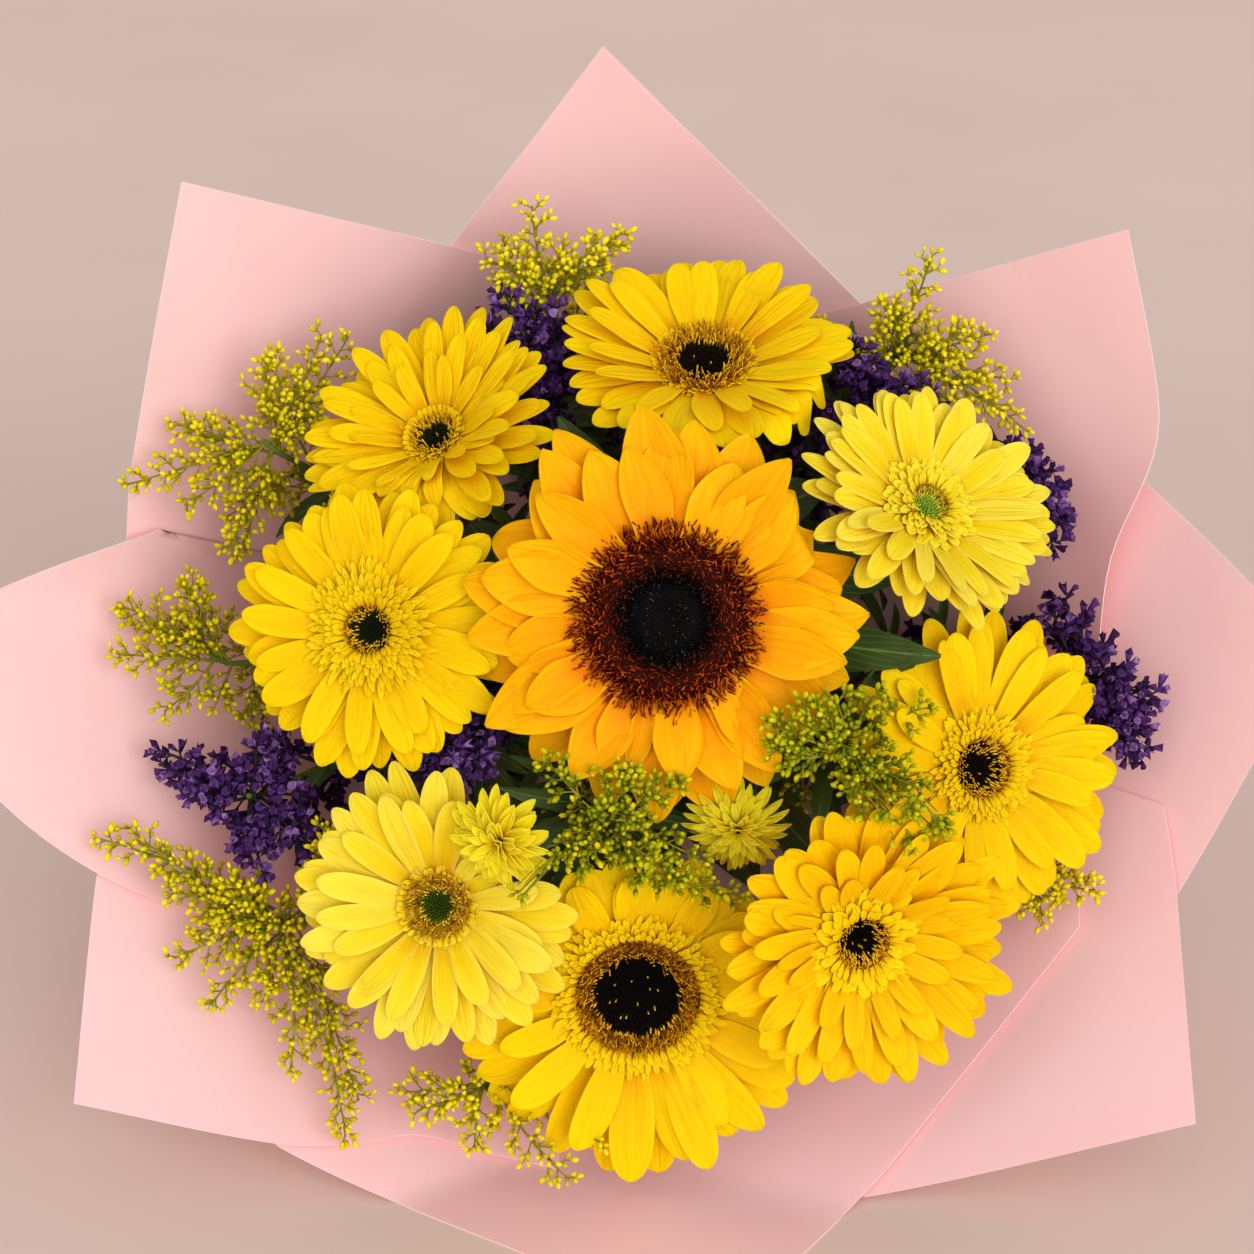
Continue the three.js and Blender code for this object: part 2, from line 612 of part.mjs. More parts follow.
function sunflowerStem(bloom) {
  const calyx = { depth: 20, radius: 28, profile: [[0.3, 0.5], [0.7, 0.9], [1, 1]] };
  const { path, geometry } = bloomStem(bloom, { slot: vec(0, 0, 0), radius: stemRadius.sunflower,
    sides: 8, calyx, back: sunflowerHub.back });
  const pieces = [geometry];
  for (let i = 0; i < bracts.count; i += 1) {
    const angle = ((i + 0.5) * 2 * Math.PI) / bracts.count;
    const line = bracts.radius.map((radius, k) => turned(angle)
      .multiplyScalar(radius).setZ(bracts.height[k]).applyMatrix4(bloom.place));
    pieces.push(blade(line, bracts.width, turned(angle + Math.PI / 2)));
  }
  for (const leaf of leaves) {
    const line = leaf.line.map(seen);
    const across = vec(0, 0, 1).cross(line[3].clone().sub(line[0])).normalize();
    pieces.push(blade([path[leaf.joint], ...line],
      [petiole, petiole, leaf.width * 0.8, leaf.width, 0.6], across));
  }
  return joined(pieces);
}

// ---------------------------------------------------------------- sprays

// How far a twig keeps from the petals: beside them, in front of them and behind them; and the
// depths under and over them from which it is pushed there.
const twigRoom = { beside: 5, front: 16, back: 9, under: 10, over: 12 };

// Pushes a point out of the petals of the blooms, to their front or to their back.
function besideBlooms(point, toFront) {
  const moved = point.clone();
  for (const bloom of blooms.values()) {
    const local = moved.clone().applyMatrix4(bloom.inverse);
    const distance = Math.hypot(local.x, local.y);
    if (distance > bloom.reach + twigRoom.beside) continue;
    const over = local.z - petalHeight(bloom, distance);
    if (toFront && over < twigRoom.front && over > -twigRoom.under) {
      moved.addScaledVector(bloom.facing, twigRoom.front - over);
    } else if (!toFront && over > -twigRoom.back && over < twigRoom.over) {
      moved.addScaledVector(bloom.facing, -twigRoom.back - over);
    }
  }
  return moved;
}

// A twig with swellings along it, where its buds or calyces sit.
function buddedLine(from, to, beads, bow, style, front) {
  const curve = new THREE.QuadraticBezierCurve3(from, from.clone().lerp(to, 0.5).add(bow), to);
  const path = [];
  const radii = [];
  for (let i = 1; i < 2 * beads; i += 1) {
    const share = i / (2 * beads - 1);
    path.push(besideBlooms(curve.getPoint(lerp(style.bare, 1, share)), front));
    radii.push(i % 2 ? style.bead * (1 - 0.3 * share) : style.thin);
  }
  return { from, path, radii };
}

const rootRoom = 3.2; // round the foot of a twig, where it may touch what it grows from

// Balls that stand for the twigs already grown, so that no two twigs run into each other.
const taken = [];
const ballsOf = ({ from, path, radii }) => path.flatMap((point, i) => {
  const before = i ? path[i - 1] : from;
  const size = i ? radii[i - 1] : radii[0] * 0.6;
  return [0.33, 0.67, 1].map((share) => ({ point: before.clone().lerp(point, share),
    size: lerp(size, radii[i], share) }));
});
const isFree = (balls, ownRoot) => balls.every((ball) => taken.every((other) => other === ownRoot
  || other.point.distanceTo(ball.point) > other.size + ball.size + gap
  || other.point.distanceTo(ownRoot) < other.size + rootRoom));

// Picks the face of a length that looks most toward a direction.
function facingMost(growth, faces, direction) {
  const alive = faces.filter((face) => growth.faces.has(face));
  return alive.reduce((best, face) => (growth.normalOf(face).dot(direction)
    > growth.normalOf(best).dot(direction) ? face : best));
}

function sprayGeometry(spray, style) {
  const shake = shaker(spray.seed);
  const crown = seen(spray.crown);
  const tips = spray.tips.map(seen);
  const middle = tips.reduce((sum, tip) => sum.add(tip), vec(0, 0, 0)).divideScalar(tips.length);
  const lead = middle.sub(crown).normalize();
  const slot = fillerSlot(spray.slot);
  const arrival = spray.inner ? crown.clone().sub(slot.clone().setZ(neck.front))
    : crown.clone().setZ(viewDistance * 0.3);
  const path = stemPath(slot, crown, arrival.normalize(), spray.inner ? hold.inner : hold.outer);
  const ordered = tips.sort((a, b) => a.clone().sub(crown).dot(lead) - b.clone().sub(crown).dot(lead));
  const last = ordered.pop();
  const joints = Math.ceil(ordered.length / 2);
  for (let i = 1; i <= joints; i += 1) path.push(crown.clone().addScaledVector(lead, i * style.step));
  const { growth, lengths } = startTube(path, path.map(() => stemRadius.filler), 4);
  const scatter = (size) => vec(shake(), shake(), shake()).multiplyScalar(size);
  // Grows a twig from a face, once a line is found that runs clear of every other twig.
  const grow = (face, aim, beads, bend) => {
    const from = growth.middleOf(face);
    for (let trial = 0; trial < 24; trial += 1) {
      const to = aim(from);
      const bow = scatter(1).add(vec(0, 0, 0.6)).multiplyScalar(from.distanceTo(to) * bend);
      const line = buddedLine(from, to, beads, bow, style, spray.front);
      const balls = ballsOf(line);
      if (isFree(balls, from)) {
        taken.push(...balls);
        return growth.sprout(face, line.path, line.radii);
      }
    }
    return [];
  };
  const branch = (face, tip) => {
    const out = tip.clone().sub(growth.middleOf(face)).normalize();
    const sides = grow(face, () => scatter(3).add(tip), style.beads, 0.16);
    for (let k = 0; k < style.twigs && sides.length; k += 1) {
      const length = sides[Math.min(1 + 2 * k, sides.length - 1)];
      const start = facingMost(growth, length, scatter(1).cross(out));
      const away = growth.normalOf(start).addScaledVector(out, 0.6);
      grow(start, (root) => scatter(0.5).add(away).multiplyScalar(style.twigLength).add(root),
        style.twigBeads, 0.05);
    }
  };
  ordered.forEach((tip, i) => {
    const length = lengths[lengths.length - joints + Math.floor(i / 2)];
    const from = growth.middleOf(length[0]).lerp(growth.middleOf(length[2]), 0.5);
    branch(facingMost(growth, length, tip.clone().sub(from)), tip);
  });
  const top = [...growth.faces].find((face) => growth.middleOf(face)
    .distanceTo(path[path.length - 1]) < 0.01);
  branch(top, last);
  return growth.geometry();
}

const goldenrodStyle = { thin: 0.8, bead: 2.6, beads: 3, bare: 0.15, twigs: 2, twigBeads: 2,
  twigLength: 9, step: 7 };
const staticeStyle = { thin: 1.3, bead: 4.4, beads: 2, bare: 0.3, twigs: 3, twigBeads: 1,
  twigLength: 8, step: 7 };

// ---------------------------------------------------------------- wrapping paper

const viewPoint = vec(0, 0, viewDistance);
const heightOf = (point) => point.y * Math.cos(lieAngle) + point.z * Math.sin(lieAngle);
const upward = vec(0, Math.cos(lieAngle), Math.sin(lieAngle));

// The outward and backward direction across the flare at each of its rows.
const flareNormals = flare.map((row, i) => {
  const [r0, w0] = flare[Math.max(i - 1, 0)];
  const [r1, w1] = flare[Math.min(i + 1, flare.length - 1)];
  return i < 2 ? new THREE.Vector2(1, 0) : new THREE.Vector2(w1 - w0, r0 - r1).normalize();
});

// How far from the axis a row of the flare is seen.
const seenRadius = ([radius, depth]) => radius / (1 - depth / viewDistance);

// A point of a layer's flare at an angle and a seen radius, before it meets the table.
function flarePoint(angle, row, layer) {
  const low = Math.min(Math.floor(row), flare.length - 2);
  const share = row - low;
  const out = paper.pitch * layer;
  const place = [low, low + 1].map((k) => {
    const [radius, depth] = flare[k];
    const away = out * (1 + paper.fan * Math.max(0, radius - neck.paperRadius));
    return [radius + flareNormals[k].x * away, depth + flareNormals[k].y * away];
  });
  const radius = lerp(place[0][0], place[1][0], share);
  const depth = lerp(place[0][1], place[1][1], share);
  const column = paper.column * degree;
  const left = Math.floor(angle / column + 1e-6) * column;
  const start = turned(left);
  const chord = turned(left + column).sub(start);
  const part = Math.tan(angle - left - column / 2) / Math.tan(column / 2) / 2 + 0.5;
  return start.addScaledVector(chord, part).multiplyScalar(radius).setZ(depth);
}

// The row, with a fraction, at which the flare is seen at a radius.
function rowAt(radius) {
  const k = flare.findIndex((row) => seenRadius(row) > radius) - 1;
  const inner = seenRadius(flare[k]);
  return k + (radius - inner) / (seenRadius(flare[k + 1]) - inner);
}

// Slides a point along its line of sight until it clears the table.
function overTable(point, tableHeight) {
  const height = heightOf(point);
  if (height >= tableHeight) return point;
  const share = (tableHeight - height) / (heightOf(viewPoint) - height);
  return point.clone().lerp(viewPoint, share);
}

// How far out a sheet's edge is seen at an angle.
function edgeRadius(edge, angle) {
  const ray = turned(angle);
  let best = 0;
  for (let i = 0; i < edge.length - 1; i += 1) {
    const a = new THREE.Vector2(...edge[i]);
    const side = new THREE.Vector2(...edge[i + 1]).sub(a);
    const cross = ray.x * side.y - ray.y * side.x;
    const radius = (a.x * side.y - a.y * side.x) / cross;
    const share = (a.x * ray.y - a.y * ray.x) / cross;
    if (radius > best && share > -1e-6 && share < 1 + 1e-6) best = radius;
  }
  return best;
}

function sheetGeometry(sheet, tableHeight) {
  const column = paper.column * degree;
  const raw = sheet.edge.map(([u, v]) => Math.atan2(v, u));
  const middle = Math.atan2(...[1, 0].map((k) => sheet.edge.reduce((sum, p) => sum + p[k], 0)));
  const near = (angle) => middle + Math.atan2(Math.sin(angle - middle), Math.cos(angle - middle));
  const corners = raw.map(near);
  const first = Math.min(...corners);
  const last = Math.max(...corners);
  const angles = new Set(corners);
  for (let k = Math.ceil(first / column); k * column < last; k += 1) angles.add(k * column);
  const sorted = [...angles].sort((a, b) => a - b)
    .filter((angle, i, all) => i === 0 || angle - all[i - 1] > 0.02);
  const whole = sorted.map((angle) => rowAt(edgeRadius(sheet.edge, angle)));
  const growth = new Growth();
  // Each column follows the rows of the flare out to its own edge, where the rest are fitted in.
  const length = Math.floor(Math.max(...whole)) + 2;
  const shares = (edgeRow) => {
    const last = Math.floor(edgeRow);
    return Array.from({ length }, (_, k) => (k <= last ? k
      : last + ((edgeRow - last) * (k - last)) / (length - 1 - last)));
  };
  const table = tableHeight + (sheet.lift ?? 0);
  const grid = sorted.map((angle, i) => shares(whole[i]).map((row) => {
    const inner = flarePoint(angle, row, sheet.layer);
    const outward = turned(angle).setZ(0);
    const normal = flareNormals[Math.round(row)];
    const outer = inner.clone().addScaledVector(outward, normal.x * paper.thickness);
    outer.z += normal.y * paper.thickness;
    const clear = overTable(outer, table);
    return { outer: clear,
      inner: clear === outer ? inner : clear.clone().addScaledVector(upward, paper.thickness) };
  }));
  const inner = grid.map((line) => growth.ring(line.map((cell) => cell.inner)));
  const outer = grid.map((line) => growth.ring(line.map((cell) => cell.outer)));
  for (let i = 0; i < grid.length - 1; i += 1) {
    for (let k = 0; k < grid[i].length - 1; k += 1) {
      growth.face([inner[i][k], inner[i][k + 1], inner[i + 1][k + 1], inner[i + 1][k]]);
      growth.face([outer[i][k], outer[i + 1][k], outer[i + 1][k + 1], outer[i][k + 1]]);
    }
    const end = grid[i].length - 1;
    growth.face([inner[i][0], outer[i][0], outer[i + 1][0], inner[i + 1][0]].reverse());
    growth.face([inner[i][end], outer[i][end], outer[i + 1][end], inner[i + 1][end]]);
  }
  const side = (i, flip) => {
    for (let k = 0; k < grid[i].length - 1; k += 1) {
      const corner = [inner[i][k], outer[i][k], outer[i][k + 1], inner[i][k + 1]];
      growth.face(flip ? corner.reverse() : corner);
    }
  };
  side(0, false);
  side(grid.length - 1, true);
  return growth.geometry();
}

// ---------------------------------------------------------------- twine

function twineGeometry() {
  const layers = Math.max(...sheets.map((sheet) => sheet.layer));
  const inner = neck.paperRadius + paper.pitch * layers + paper.thickness + gap;
  const { radius, turns } = twine;
  const outline = [];
  for (let i = 0; i < turns; i += 1) {
    const middle = (2 * i - turns + 1) * radius;
    outline.push(new THREE.Vector2(inner + radius, middle - radius));
    outline.push(new THREE.Vector2(inner + 2 * radius, middle));
  }
  outline.push(new THREE.Vector2(inner + radius, turns * radius));
  outline.push(new THREE.Vector2(inner, turns * radius - radius));
  outline.push(new THREE.Vector2(inner, radius - turns * radius));
  outline.push(outline[0].clone());
  const band = new THREE.LatheGeometry(outline, 360 / paper.column);
  band.rotateX(Math.PI / 2);
  band.translate(0, 0, (neck.front + neck.back) / 2);
  return band;
}

// ---------------------------------------------------------------- the bunch

const bunch = new THREE.Group();
const add = (name, geometry, material) => {
  const mesh = new THREE.Mesh(geometry, material);
  mesh.name = name;
  bunch.add(mesh);
};

const sun = blooms.get('sunflower');
add('sunflower_petals', sunflowerGeometry(sun), colours.sunflowerPetal);
add('sunflower_disc', domeGeometry(sun, { count: 20, radius: discRadius, base: gap, rim: 5,
  rings: [[0.93, 7.6, 0.9], [0.8, 8.6, -0.8], [0.66, 8.4, 0.7], [0.54, 7.6, 0]],
  recess: { radius: 16.6, floor: 3 } }), colours.sunflowerDisc);
add('sunflower_eye', domeGeometry(sun, { count: 10, radius: 16, base: 3 + gap, rim: 6.4,
  rings: [[0.72, 6.8, 0.6], [0.38, 5.4, -0.5]] }), colours.sunflowerEye);
add('sunflower_stem', sunflowerStem(sun), colours.stem);
for (const { name } of gerberas) {
  const bloom = blooms.get(name);
  add(`${name}_petals`, gerberaGeometry(bloom), petalColour[name] ?? colours.yellowPetal);
  add(`${name}_eye`, domeGeometry(bloom, { count: 8, radius: bloom.eye, base: 2 + gap, rim: 5,
    rings: [[0.62, 6.6, 0.5]] }), eyeColour[name] ?? colours.darkEye);
  add(`${name}_stem`, gerberaStem(bloom), colours.stem);
}
for (const { name } of mums) {
  const bloom = blooms.get(name);
  add(`${name}_head`, mumGeometry(bloom), colours.palePetal);
  add(`${name}_stem`, mumStem(bloom), colours.stem);
}
for (const spray of goldenrod) {
  add(spray.name, sprayGeometry(spray, goldenrodStyle), colours.goldenrod);
}
for (const spray of statice) {
  add(spray.name, sprayGeometry(spray, staticeStyle), colours.statice);
}

// The table is as high as the lowest cut stem; the low sheets of paper lie flat on it.
let tableHeight = Infinity;
for (const mesh of bunch.children) {
  const place = mesh.geometry.getAttribute('position');
  for (let i = 0; i < place.count; i += 1) {
    tableHeight = Math.min(tableHeight, heightOf(vec(0, place.getY(i), place.getZ(i))));
  }
}
for (const sheet of sheets) add(sheet.name, sheetGeometry(sheet, tableHeight), colours.paper);
add('tie', twineGeometry(), colours.twine);

// The bunch lies down, with the part's zero under the middle of its own box.
const part = new THREE.Group();
bunch.rotation.x = Math.PI / 2 - lieAngle;
part.add(bunch);
part.updateMatrixWorld(true);
const box = new THREE.Box3().setFromObject(part, true);
bunch.position.set(-(box.min.x + box.max.x) / 2, -(box.min.y + box.max.y) / 2, -box.min.z);

export default part;
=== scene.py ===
import math
import random

import bmesh
import bpy
from mathutils import Matrix, Vector


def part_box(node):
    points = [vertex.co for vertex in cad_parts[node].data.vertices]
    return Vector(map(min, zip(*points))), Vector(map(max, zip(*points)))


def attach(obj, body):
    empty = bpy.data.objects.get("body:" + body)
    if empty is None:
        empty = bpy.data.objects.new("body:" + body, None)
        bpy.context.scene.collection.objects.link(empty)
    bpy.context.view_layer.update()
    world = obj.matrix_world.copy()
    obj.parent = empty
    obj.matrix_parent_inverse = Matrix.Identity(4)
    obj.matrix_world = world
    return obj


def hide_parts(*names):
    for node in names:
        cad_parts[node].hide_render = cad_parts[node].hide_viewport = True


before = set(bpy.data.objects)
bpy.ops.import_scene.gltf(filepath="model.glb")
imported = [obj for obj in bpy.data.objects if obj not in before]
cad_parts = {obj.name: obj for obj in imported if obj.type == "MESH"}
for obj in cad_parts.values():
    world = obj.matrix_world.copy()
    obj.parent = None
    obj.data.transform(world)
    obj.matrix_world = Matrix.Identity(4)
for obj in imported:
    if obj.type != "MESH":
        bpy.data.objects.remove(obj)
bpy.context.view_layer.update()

# The bunch has its own frame in millimetres: u to the right, v up and w toward the viewer, with
# its zero in the middle of the sunflower's face. Everything is laid out there and then placed.
bunch = {
    "lieAngle": 27,  # how far the axis of the bunch rises toward the viewer, in degrees
    "viewDistance": 1120,
    "neckFront": -296,
    "neckBack": -318,
    "neckRadius": 14.8,
    "slotRing": 8.6,  # the ring of the gerberas' stems in the neck
    "slotGap": 0.3,
    "cutDepth": -455,
    "cutSpread": 0.75,
}
millimetre = 0.001
twigTurn = 2.4  # from one twig or narrow leaf to the next round its stem, in radians
spiralTurn = 2.399963  # from one floret of an eye to the next

lift = math.radians(bunch["lieAngle"])
rise, lean = math.sin(lift), math.cos(lift)
turnDown = Matrix(((1, 0, 0, 0), (0, rise, -lean, 0), (0, lean, rise, 0), (0, 0, 0, 1)))
tieLow, tieHigh = (Vector(corner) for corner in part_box("tie"))
tieMiddle = Vector((0, 0, (bunch["neckFront"] + bunch["neckBack"]) / 2))
shift = (tieLow + tieHigh) / 2 - turnDown @ tieMiddle * millimetre
toWorld = Matrix.Translation(shift) @ turnDown @ Matrix.Scale(millimetre, 4)
viewPoint = Vector((0, 0, bunch["viewDistance"]))


def seen(u, v, depth):  # a point from where the viewer sees it on the sunflower's plane
    near = 1 - depth / bunch["viewDistance"]
    return Vector((u * near, v * near, depth))


def forward(step):
    return Vector((0, 0, step))


def turned(angle):
    return Vector((math.cos(angle), math.sin(angle), 0))


def smooth(low, high, value):
    share = min(max((value - low) / (high - low), 0), 1)
    return share * share * (3 - 2 * share)


def mix(a, b, share):
    return a + (b - a) * share


def pointOn(line, at):  # a place on a line of points, and the line's way there
    k = min(int(at), len(line) - 2)
    return line[k].lerp(line[k + 1], at - k), (line[k + 1] - line[k]).normalized()


def outFrom(way, angle):  # square to a way, turned about it
    out = way.orthogonal().normalized()
    out.rotate(Matrix.Rotation(angle, 3, way))
    return out


class Channel:
    def __init__(self, tree, socket=None):
        self.tree = tree
        self.socket = socket

    def make(self, kind, settings, sockets, output=0):
        node = self.tree.nodes.new(kind)
        for name, value in settings.items():
            if name == "stops":
                ramp = node.color_ramp.elements
                while len(ramp) < len(value):
                    ramp.new(0.5)
                for stop, (place, *screen) in zip(ramp, value):
                    stop.position = place
                    stop.color = rgba(*screen)
            else:
                setattr(node, name, value)
        for key, value in sockets.items():
            if isinstance(value, Channel):
                self.tree.links.new(value.socket, node.inputs[key])
            else:
                node.inputs[key].default_value = value
        return Channel(self.tree, node.outputs[output])

    def maths(self, operation, *values):
        return self.make("ShaderNodeMath", {"operation": operation}, dict(enumerate(values)))

    def __add__(self, other):
        return self.maths("ADD", self, other)

    def __radd__(self, other):
        return self.maths("ADD", other, self)

    def __sub__(self, other):
        return self.maths("SUBTRACT", self, other)

    def __rsub__(self, other):
        return self.maths("SUBTRACT", other, self)

    def __mul__(self, other):
        return self.maths("MULTIPLY", self, other)

    def __rmul__(self, other):
        return self.maths("MULTIPLY", other, self)

    def __pow__(self, other):
        return self.maths("POWER", self, other)

    def clamped(self):
        return self.make("ShaderNodeClamp", {}, {"Value": self})

    def between(self, low, high):  # rises smoothly from 0 to 1
        return self.make("ShaderNodeMapRange", {"interpolation_type": "SMOOTHSTEP"}, {
            "Value": self, "From Min": low, "From Max": high})

    def blend(self, first, second):
        return self.make("ShaderNodeMix", {"data_type": "RGBA", "clamp_factor": True},
                         {0: self, 6: first, 7: second}, output=2)

    def ramp(self, stops):  # each stop is a place from 0 to 1, then red, green and blue
        return self.make("ShaderNodeValToRGB", {"stops": stops}, {"Fac": self})

    def noise(self, scale, detail, roughness=0.5):
        return self.make("ShaderNodeTexNoise", {}, {
            "Vector": self, "Scale": scale, "Detail": detail, "Roughness": roughness})

    def bump(self, strength, distance):
        return self.make("ShaderNodeBump", {}, {
            "Strength": strength, "Distance": distance, "Height": self})


def rgba(*screen):  # a colour as a screen shows it, 0 to 255
    return (*(((part / 255 + 0.055) / 1.055) ** 2.4 if part > 10 else part / 255 / 12.92
              for part in screen), 1)


def startMaterial(name, **fixed):
    material = bpy.data.materials.new(name)
    material.use_nodes = True
    surface = material.node_tree.nodes["Principled BSDF"]
    for key, value in fixed.items():
        surface.inputs[key.replace("_", " ")].default_value = value
    return material, Channel(material.node_tree)


def feed(material, **channels):
    surface = material.node_tree.nodes["Principled BSDF"]
    for key, channel in channels.items():
        channel.tree.links.new(channel.socket, surface.inputs[key.replace("_", " ")])
    return material


def placeOf(start):
    return start.make("ShaderNodeTexCoord", {}, {}, output=3)


def toneOf(start):  # each piece's points carry a tone from 0, its dark parts, to 1
    return start.make("ShaderNodeAttribute", {"attribute_name": "tone"}, {}, output=2)


def onBlade(start):  # across and along a petal or leaf, each from 0 to 1
    uv = start.make("ShaderNodeUVMap", {"uv_map": "UVMap"}, {})
    across = start.make("ShaderNodeSeparateXYZ", {}, {0: uv})
    return across, Channel(start.tree, across.socket.node.outputs[1])


petalLooks = {
    "sunflower": {"stops": [(0.0, 220, 104, 0), (0.22, 250, 160, 0), (0.7, 255, 182, 0),
                            (1.0, 255, 194, 4)],
                  "deep": (236, 138, 0), "rim": (255, 198, 10), "pale": (255, 198, 10),
                  "veins": 9, "veinShade": 0.5, "glow": 0.2},
    "yellow": {"stops": [(0.0, 216, 132, 0), (0.25, 250, 194, 0), (0.8, 255, 212, 0),
                         (1.0, 255, 218, 2)],
               "deep": (240, 172, 0), "rim": (255, 219, 4), "pale": (255, 222, 8),
               "veins": 8, "veinShade": 0.45, "glow": 0.2},
    "orange": {"stops": [(0.0, 220, 124, 0), (0.3, 252, 188, 0), (0.8, 255, 203, 0),
                         (1.0, 255, 208, 4)],
               "deep": (240, 162, 0), "rim": (255, 214, 10), "pale": (255, 214, 10),
               "veins": 8, "veinShade": 0.45, "glow": 0.2},
    "pale": {"stops": [(0.0, 222, 154, 2), (0.25, 248, 208, 14), (0.8, 253, 226, 46),
                       (1.0, 254, 232, 74)],
             "deep": (236, 192, 16), "rim": (255, 238, 106), "pale": (255, 238, 102),
             "veins": 8, "veinShade": 0.4, "glow": 0.2},
    "mum": {"stops": [(0.0, 242, 198, 4), (0.3, 254, 224, 18), (0.8, 255, 233, 34),
                      (1.0, 255, 237, 54)],
            "deep": (238, 196, 8), "rim": (255, 239, 70), "pale": (255, 239, 66),
            "veins": 4, "veinShade": 0.2, "glow": 0.4},
    "fringe": {"stops": [(0.0, 238, 176, 0), (0.4, 254, 205, 2), (0.8, 255, 216, 8),
                         (1.0, 255, 225, 30)],
               "deep": (244, 190, 0), "rim": (255, 224, 24), "pale": (255, 224, 24),
               "veins": 3, "veinShade": 0.3, "glow": 0.25},
    "paleFringe": {"stops": [(0.0, 242, 190, 4), (0.4, 254, 220, 18), (0.8, 255, 231, 42),
                             (1.0, 255, 237, 70)],
                   "deep": (246, 202, 8), "rim": (255, 238, 74), "pale": (255, 238, 74),
                   "veins": 3, "veinShade": 0.3, "glow": 0.25},
}


petalSkin = {"shine": 0.06, "glowDepth": 0.004, "glowColour": (1, 0.6, 0.02), "blotches": 90,
             "blotchShade": 0.25, "toneShade": 0.2, "rimShade": 0.35, "paleShade": 0.5,
             "veinContrast": 2.6, "roughness": 0.5, "veinRoughness": 0.16, "veinDepth": 0.0005}


def petalMaterial(name, look):
    material, start = startMaterial(
        name, Subsurface_Weight=look["glow"], Subsurface_Scale=petalSkin["glowDepth"],
        Subsurface_Radius=petalSkin["glowColour"], Specular_IOR_Level=petalSkin["shine"])
    across, along = onBlade(start)
    tone = toneOf(start)
    stretched = start.make("ShaderNodeCombineXYZ", {}, {
        0: across * look["veins"], 1: along * 1.6, 2: tone * 37})
    veins = ((stretched.noise(1, 3, 0.55) - 0.5) * petalSkin["veinContrast"] + 0.5).clamped()
    blotch = (placeOf(start).noise(petalSkin["blotches"], 2) - 0.5) * petalSkin["blotchShade"]
    blade = (along + blotch + (tone - 0.5) * petalSkin["toneShade"]).ramp(look["stops"])
    veined = (veins * look["veinShade"]).blend(blade, rgba(*look["deep"]))
    edge = ((across - 0.5) * 2) ** 2
    rimmed = (edge * edge * petalSkin["rimShade"]).blend(veined, rgba(*look["rim"]))
    lighter = ((tone - 0.5) * petalSkin["paleShade"]).clamped()
    return feed(material, Base_Color=lighter.blend(rimmed, rgba(*look["pale"])),
                Roughness=petalSkin["roughness"] + veins * petalSkin["veinRoughness"],
                Normal=veins.bump(0.8, petalSkin["veinDepth"]))


petalMaterials = {name: petalMaterial(name + "Petal", look) for name, look in petalLooks.items()}

# Eyes, buds and calyces, from their darkest tone to their lightest.
plainTone = {"roughness": 0.7, "grain": 0.1, "shine": 0.1, "glow": 0}
toneLooks = {
    "darkEye": {"stops": [
        (0.0, 12, 6, 4), (0.5, 36, 14, 5), (0.7, 130, 76, 8), (0.88, 226, 162, 6),
        (1.0, 252, 206, 40)]},
    "blackEye": {"stops": [
        (0.0, 7, 4, 4), (0.5, 22, 12, 8), (0.68, 120, 66, 6), (0.86, 214, 148, 6),
        (1.0, 252, 204, 40)]},
    "oliveEye": {"stops": [
        (0.0, 18, 22, 6), (0.45, 44, 52, 10), (0.65, 128, 100, 12), (0.86, 228, 172, 8),
        (1.0, 253, 210, 30)]},
    "greenEye": {"stops": [
        (0.0, 44, 66, 10), (0.45, 86, 112, 18), (0.62, 120, 96, 14), (0.84, 206, 152, 12),
        (1.0, 248, 212, 60)]},
    "limeEye": {"stops": [
        (0.0, 140, 178, 50), (0.5, 164, 194, 60), (0.72, 206, 186, 34), (1.0, 250, 220, 70)]},
    "sunflowerDisc": {"grain": 0.15, "shine": 0.08, "stops": [
        (0.0, 13, 3, 1), (0.3, 66, 13, 1), (0.65, 128, 36, 3), (1.0, 206, 96, 18)]},
    "sunflowerEye": {"roughness": 0.6, "stops": [
        (0.0, 5, 4, 5), (0.4, 16, 13, 13), (0.75, 50, 42, 36), (1.0, 122, 102, 76)]},
    "goldenrodBud": {"roughness": 0.6, "grain": 0.15, "shine": 0.12, "glow": 0.2, "stops": [
        (0.0, 96, 92, 0), (0.3, 160, 152, 0), (0.6, 216, 200, 4), (1.0, 252, 230, 34)]},
    "goldenrodGreenBud": {"roughness": 0.6, "grain": 0.15, "shine": 0.12, "glow": 0.2, "stops": [
        (0.0, 24, 38, 0), (0.3, 92, 108, 0), (0.6, 178, 178, 4), (1.0, 246, 220, 20)]},
    "staticeCalyx": {"grain": 0.2, "stops": [
        (0.0, 10, 4, 12), (0.4, 46, 20, 64), (0.7, 88, 48, 116), (1.0, 172, 132, 196)]},
}


def toneMaterial(name, look):
    material, start = startMaterial(
        name, Subsurface_Weight=look["glow"], Subsurface_Scale=0.002,
        Specular_IOR_Level=look["shine"])
    speckle = placeOf(start).noise(700, 3)
    return feed(material,
                Base_Color=(toneOf(start) + (speckle - 0.5) * look["grain"]).ramp(look["stops"]),
                Roughness=look["roughness"] + (speckle - 0.5) * 0.2,
                Normal=speckle.bump(0.3, 0.0003))


toneMaterials = {name: toneMaterial(name, {**plainTone, **look})
                 for name, look in toneLooks.items()}


def stemMaterial(name, dark, light, scale):
    material, start = startMaterial(name, Specular_IOR_Level=0.3)
    place = placeOf(start)
    streaks = ((place.noise(scale, 4) - 0.5) * 2.4 + 0.5).clamped()
    fine = place.noise(scale * 9, 2)
    return feed(material, Base_Color=streaks.blend(rgba(*dark), rgba(*light)),
                Roughness=0.5 + fine * 0.2, Normal=fine.bump(0.4, 0.0004))


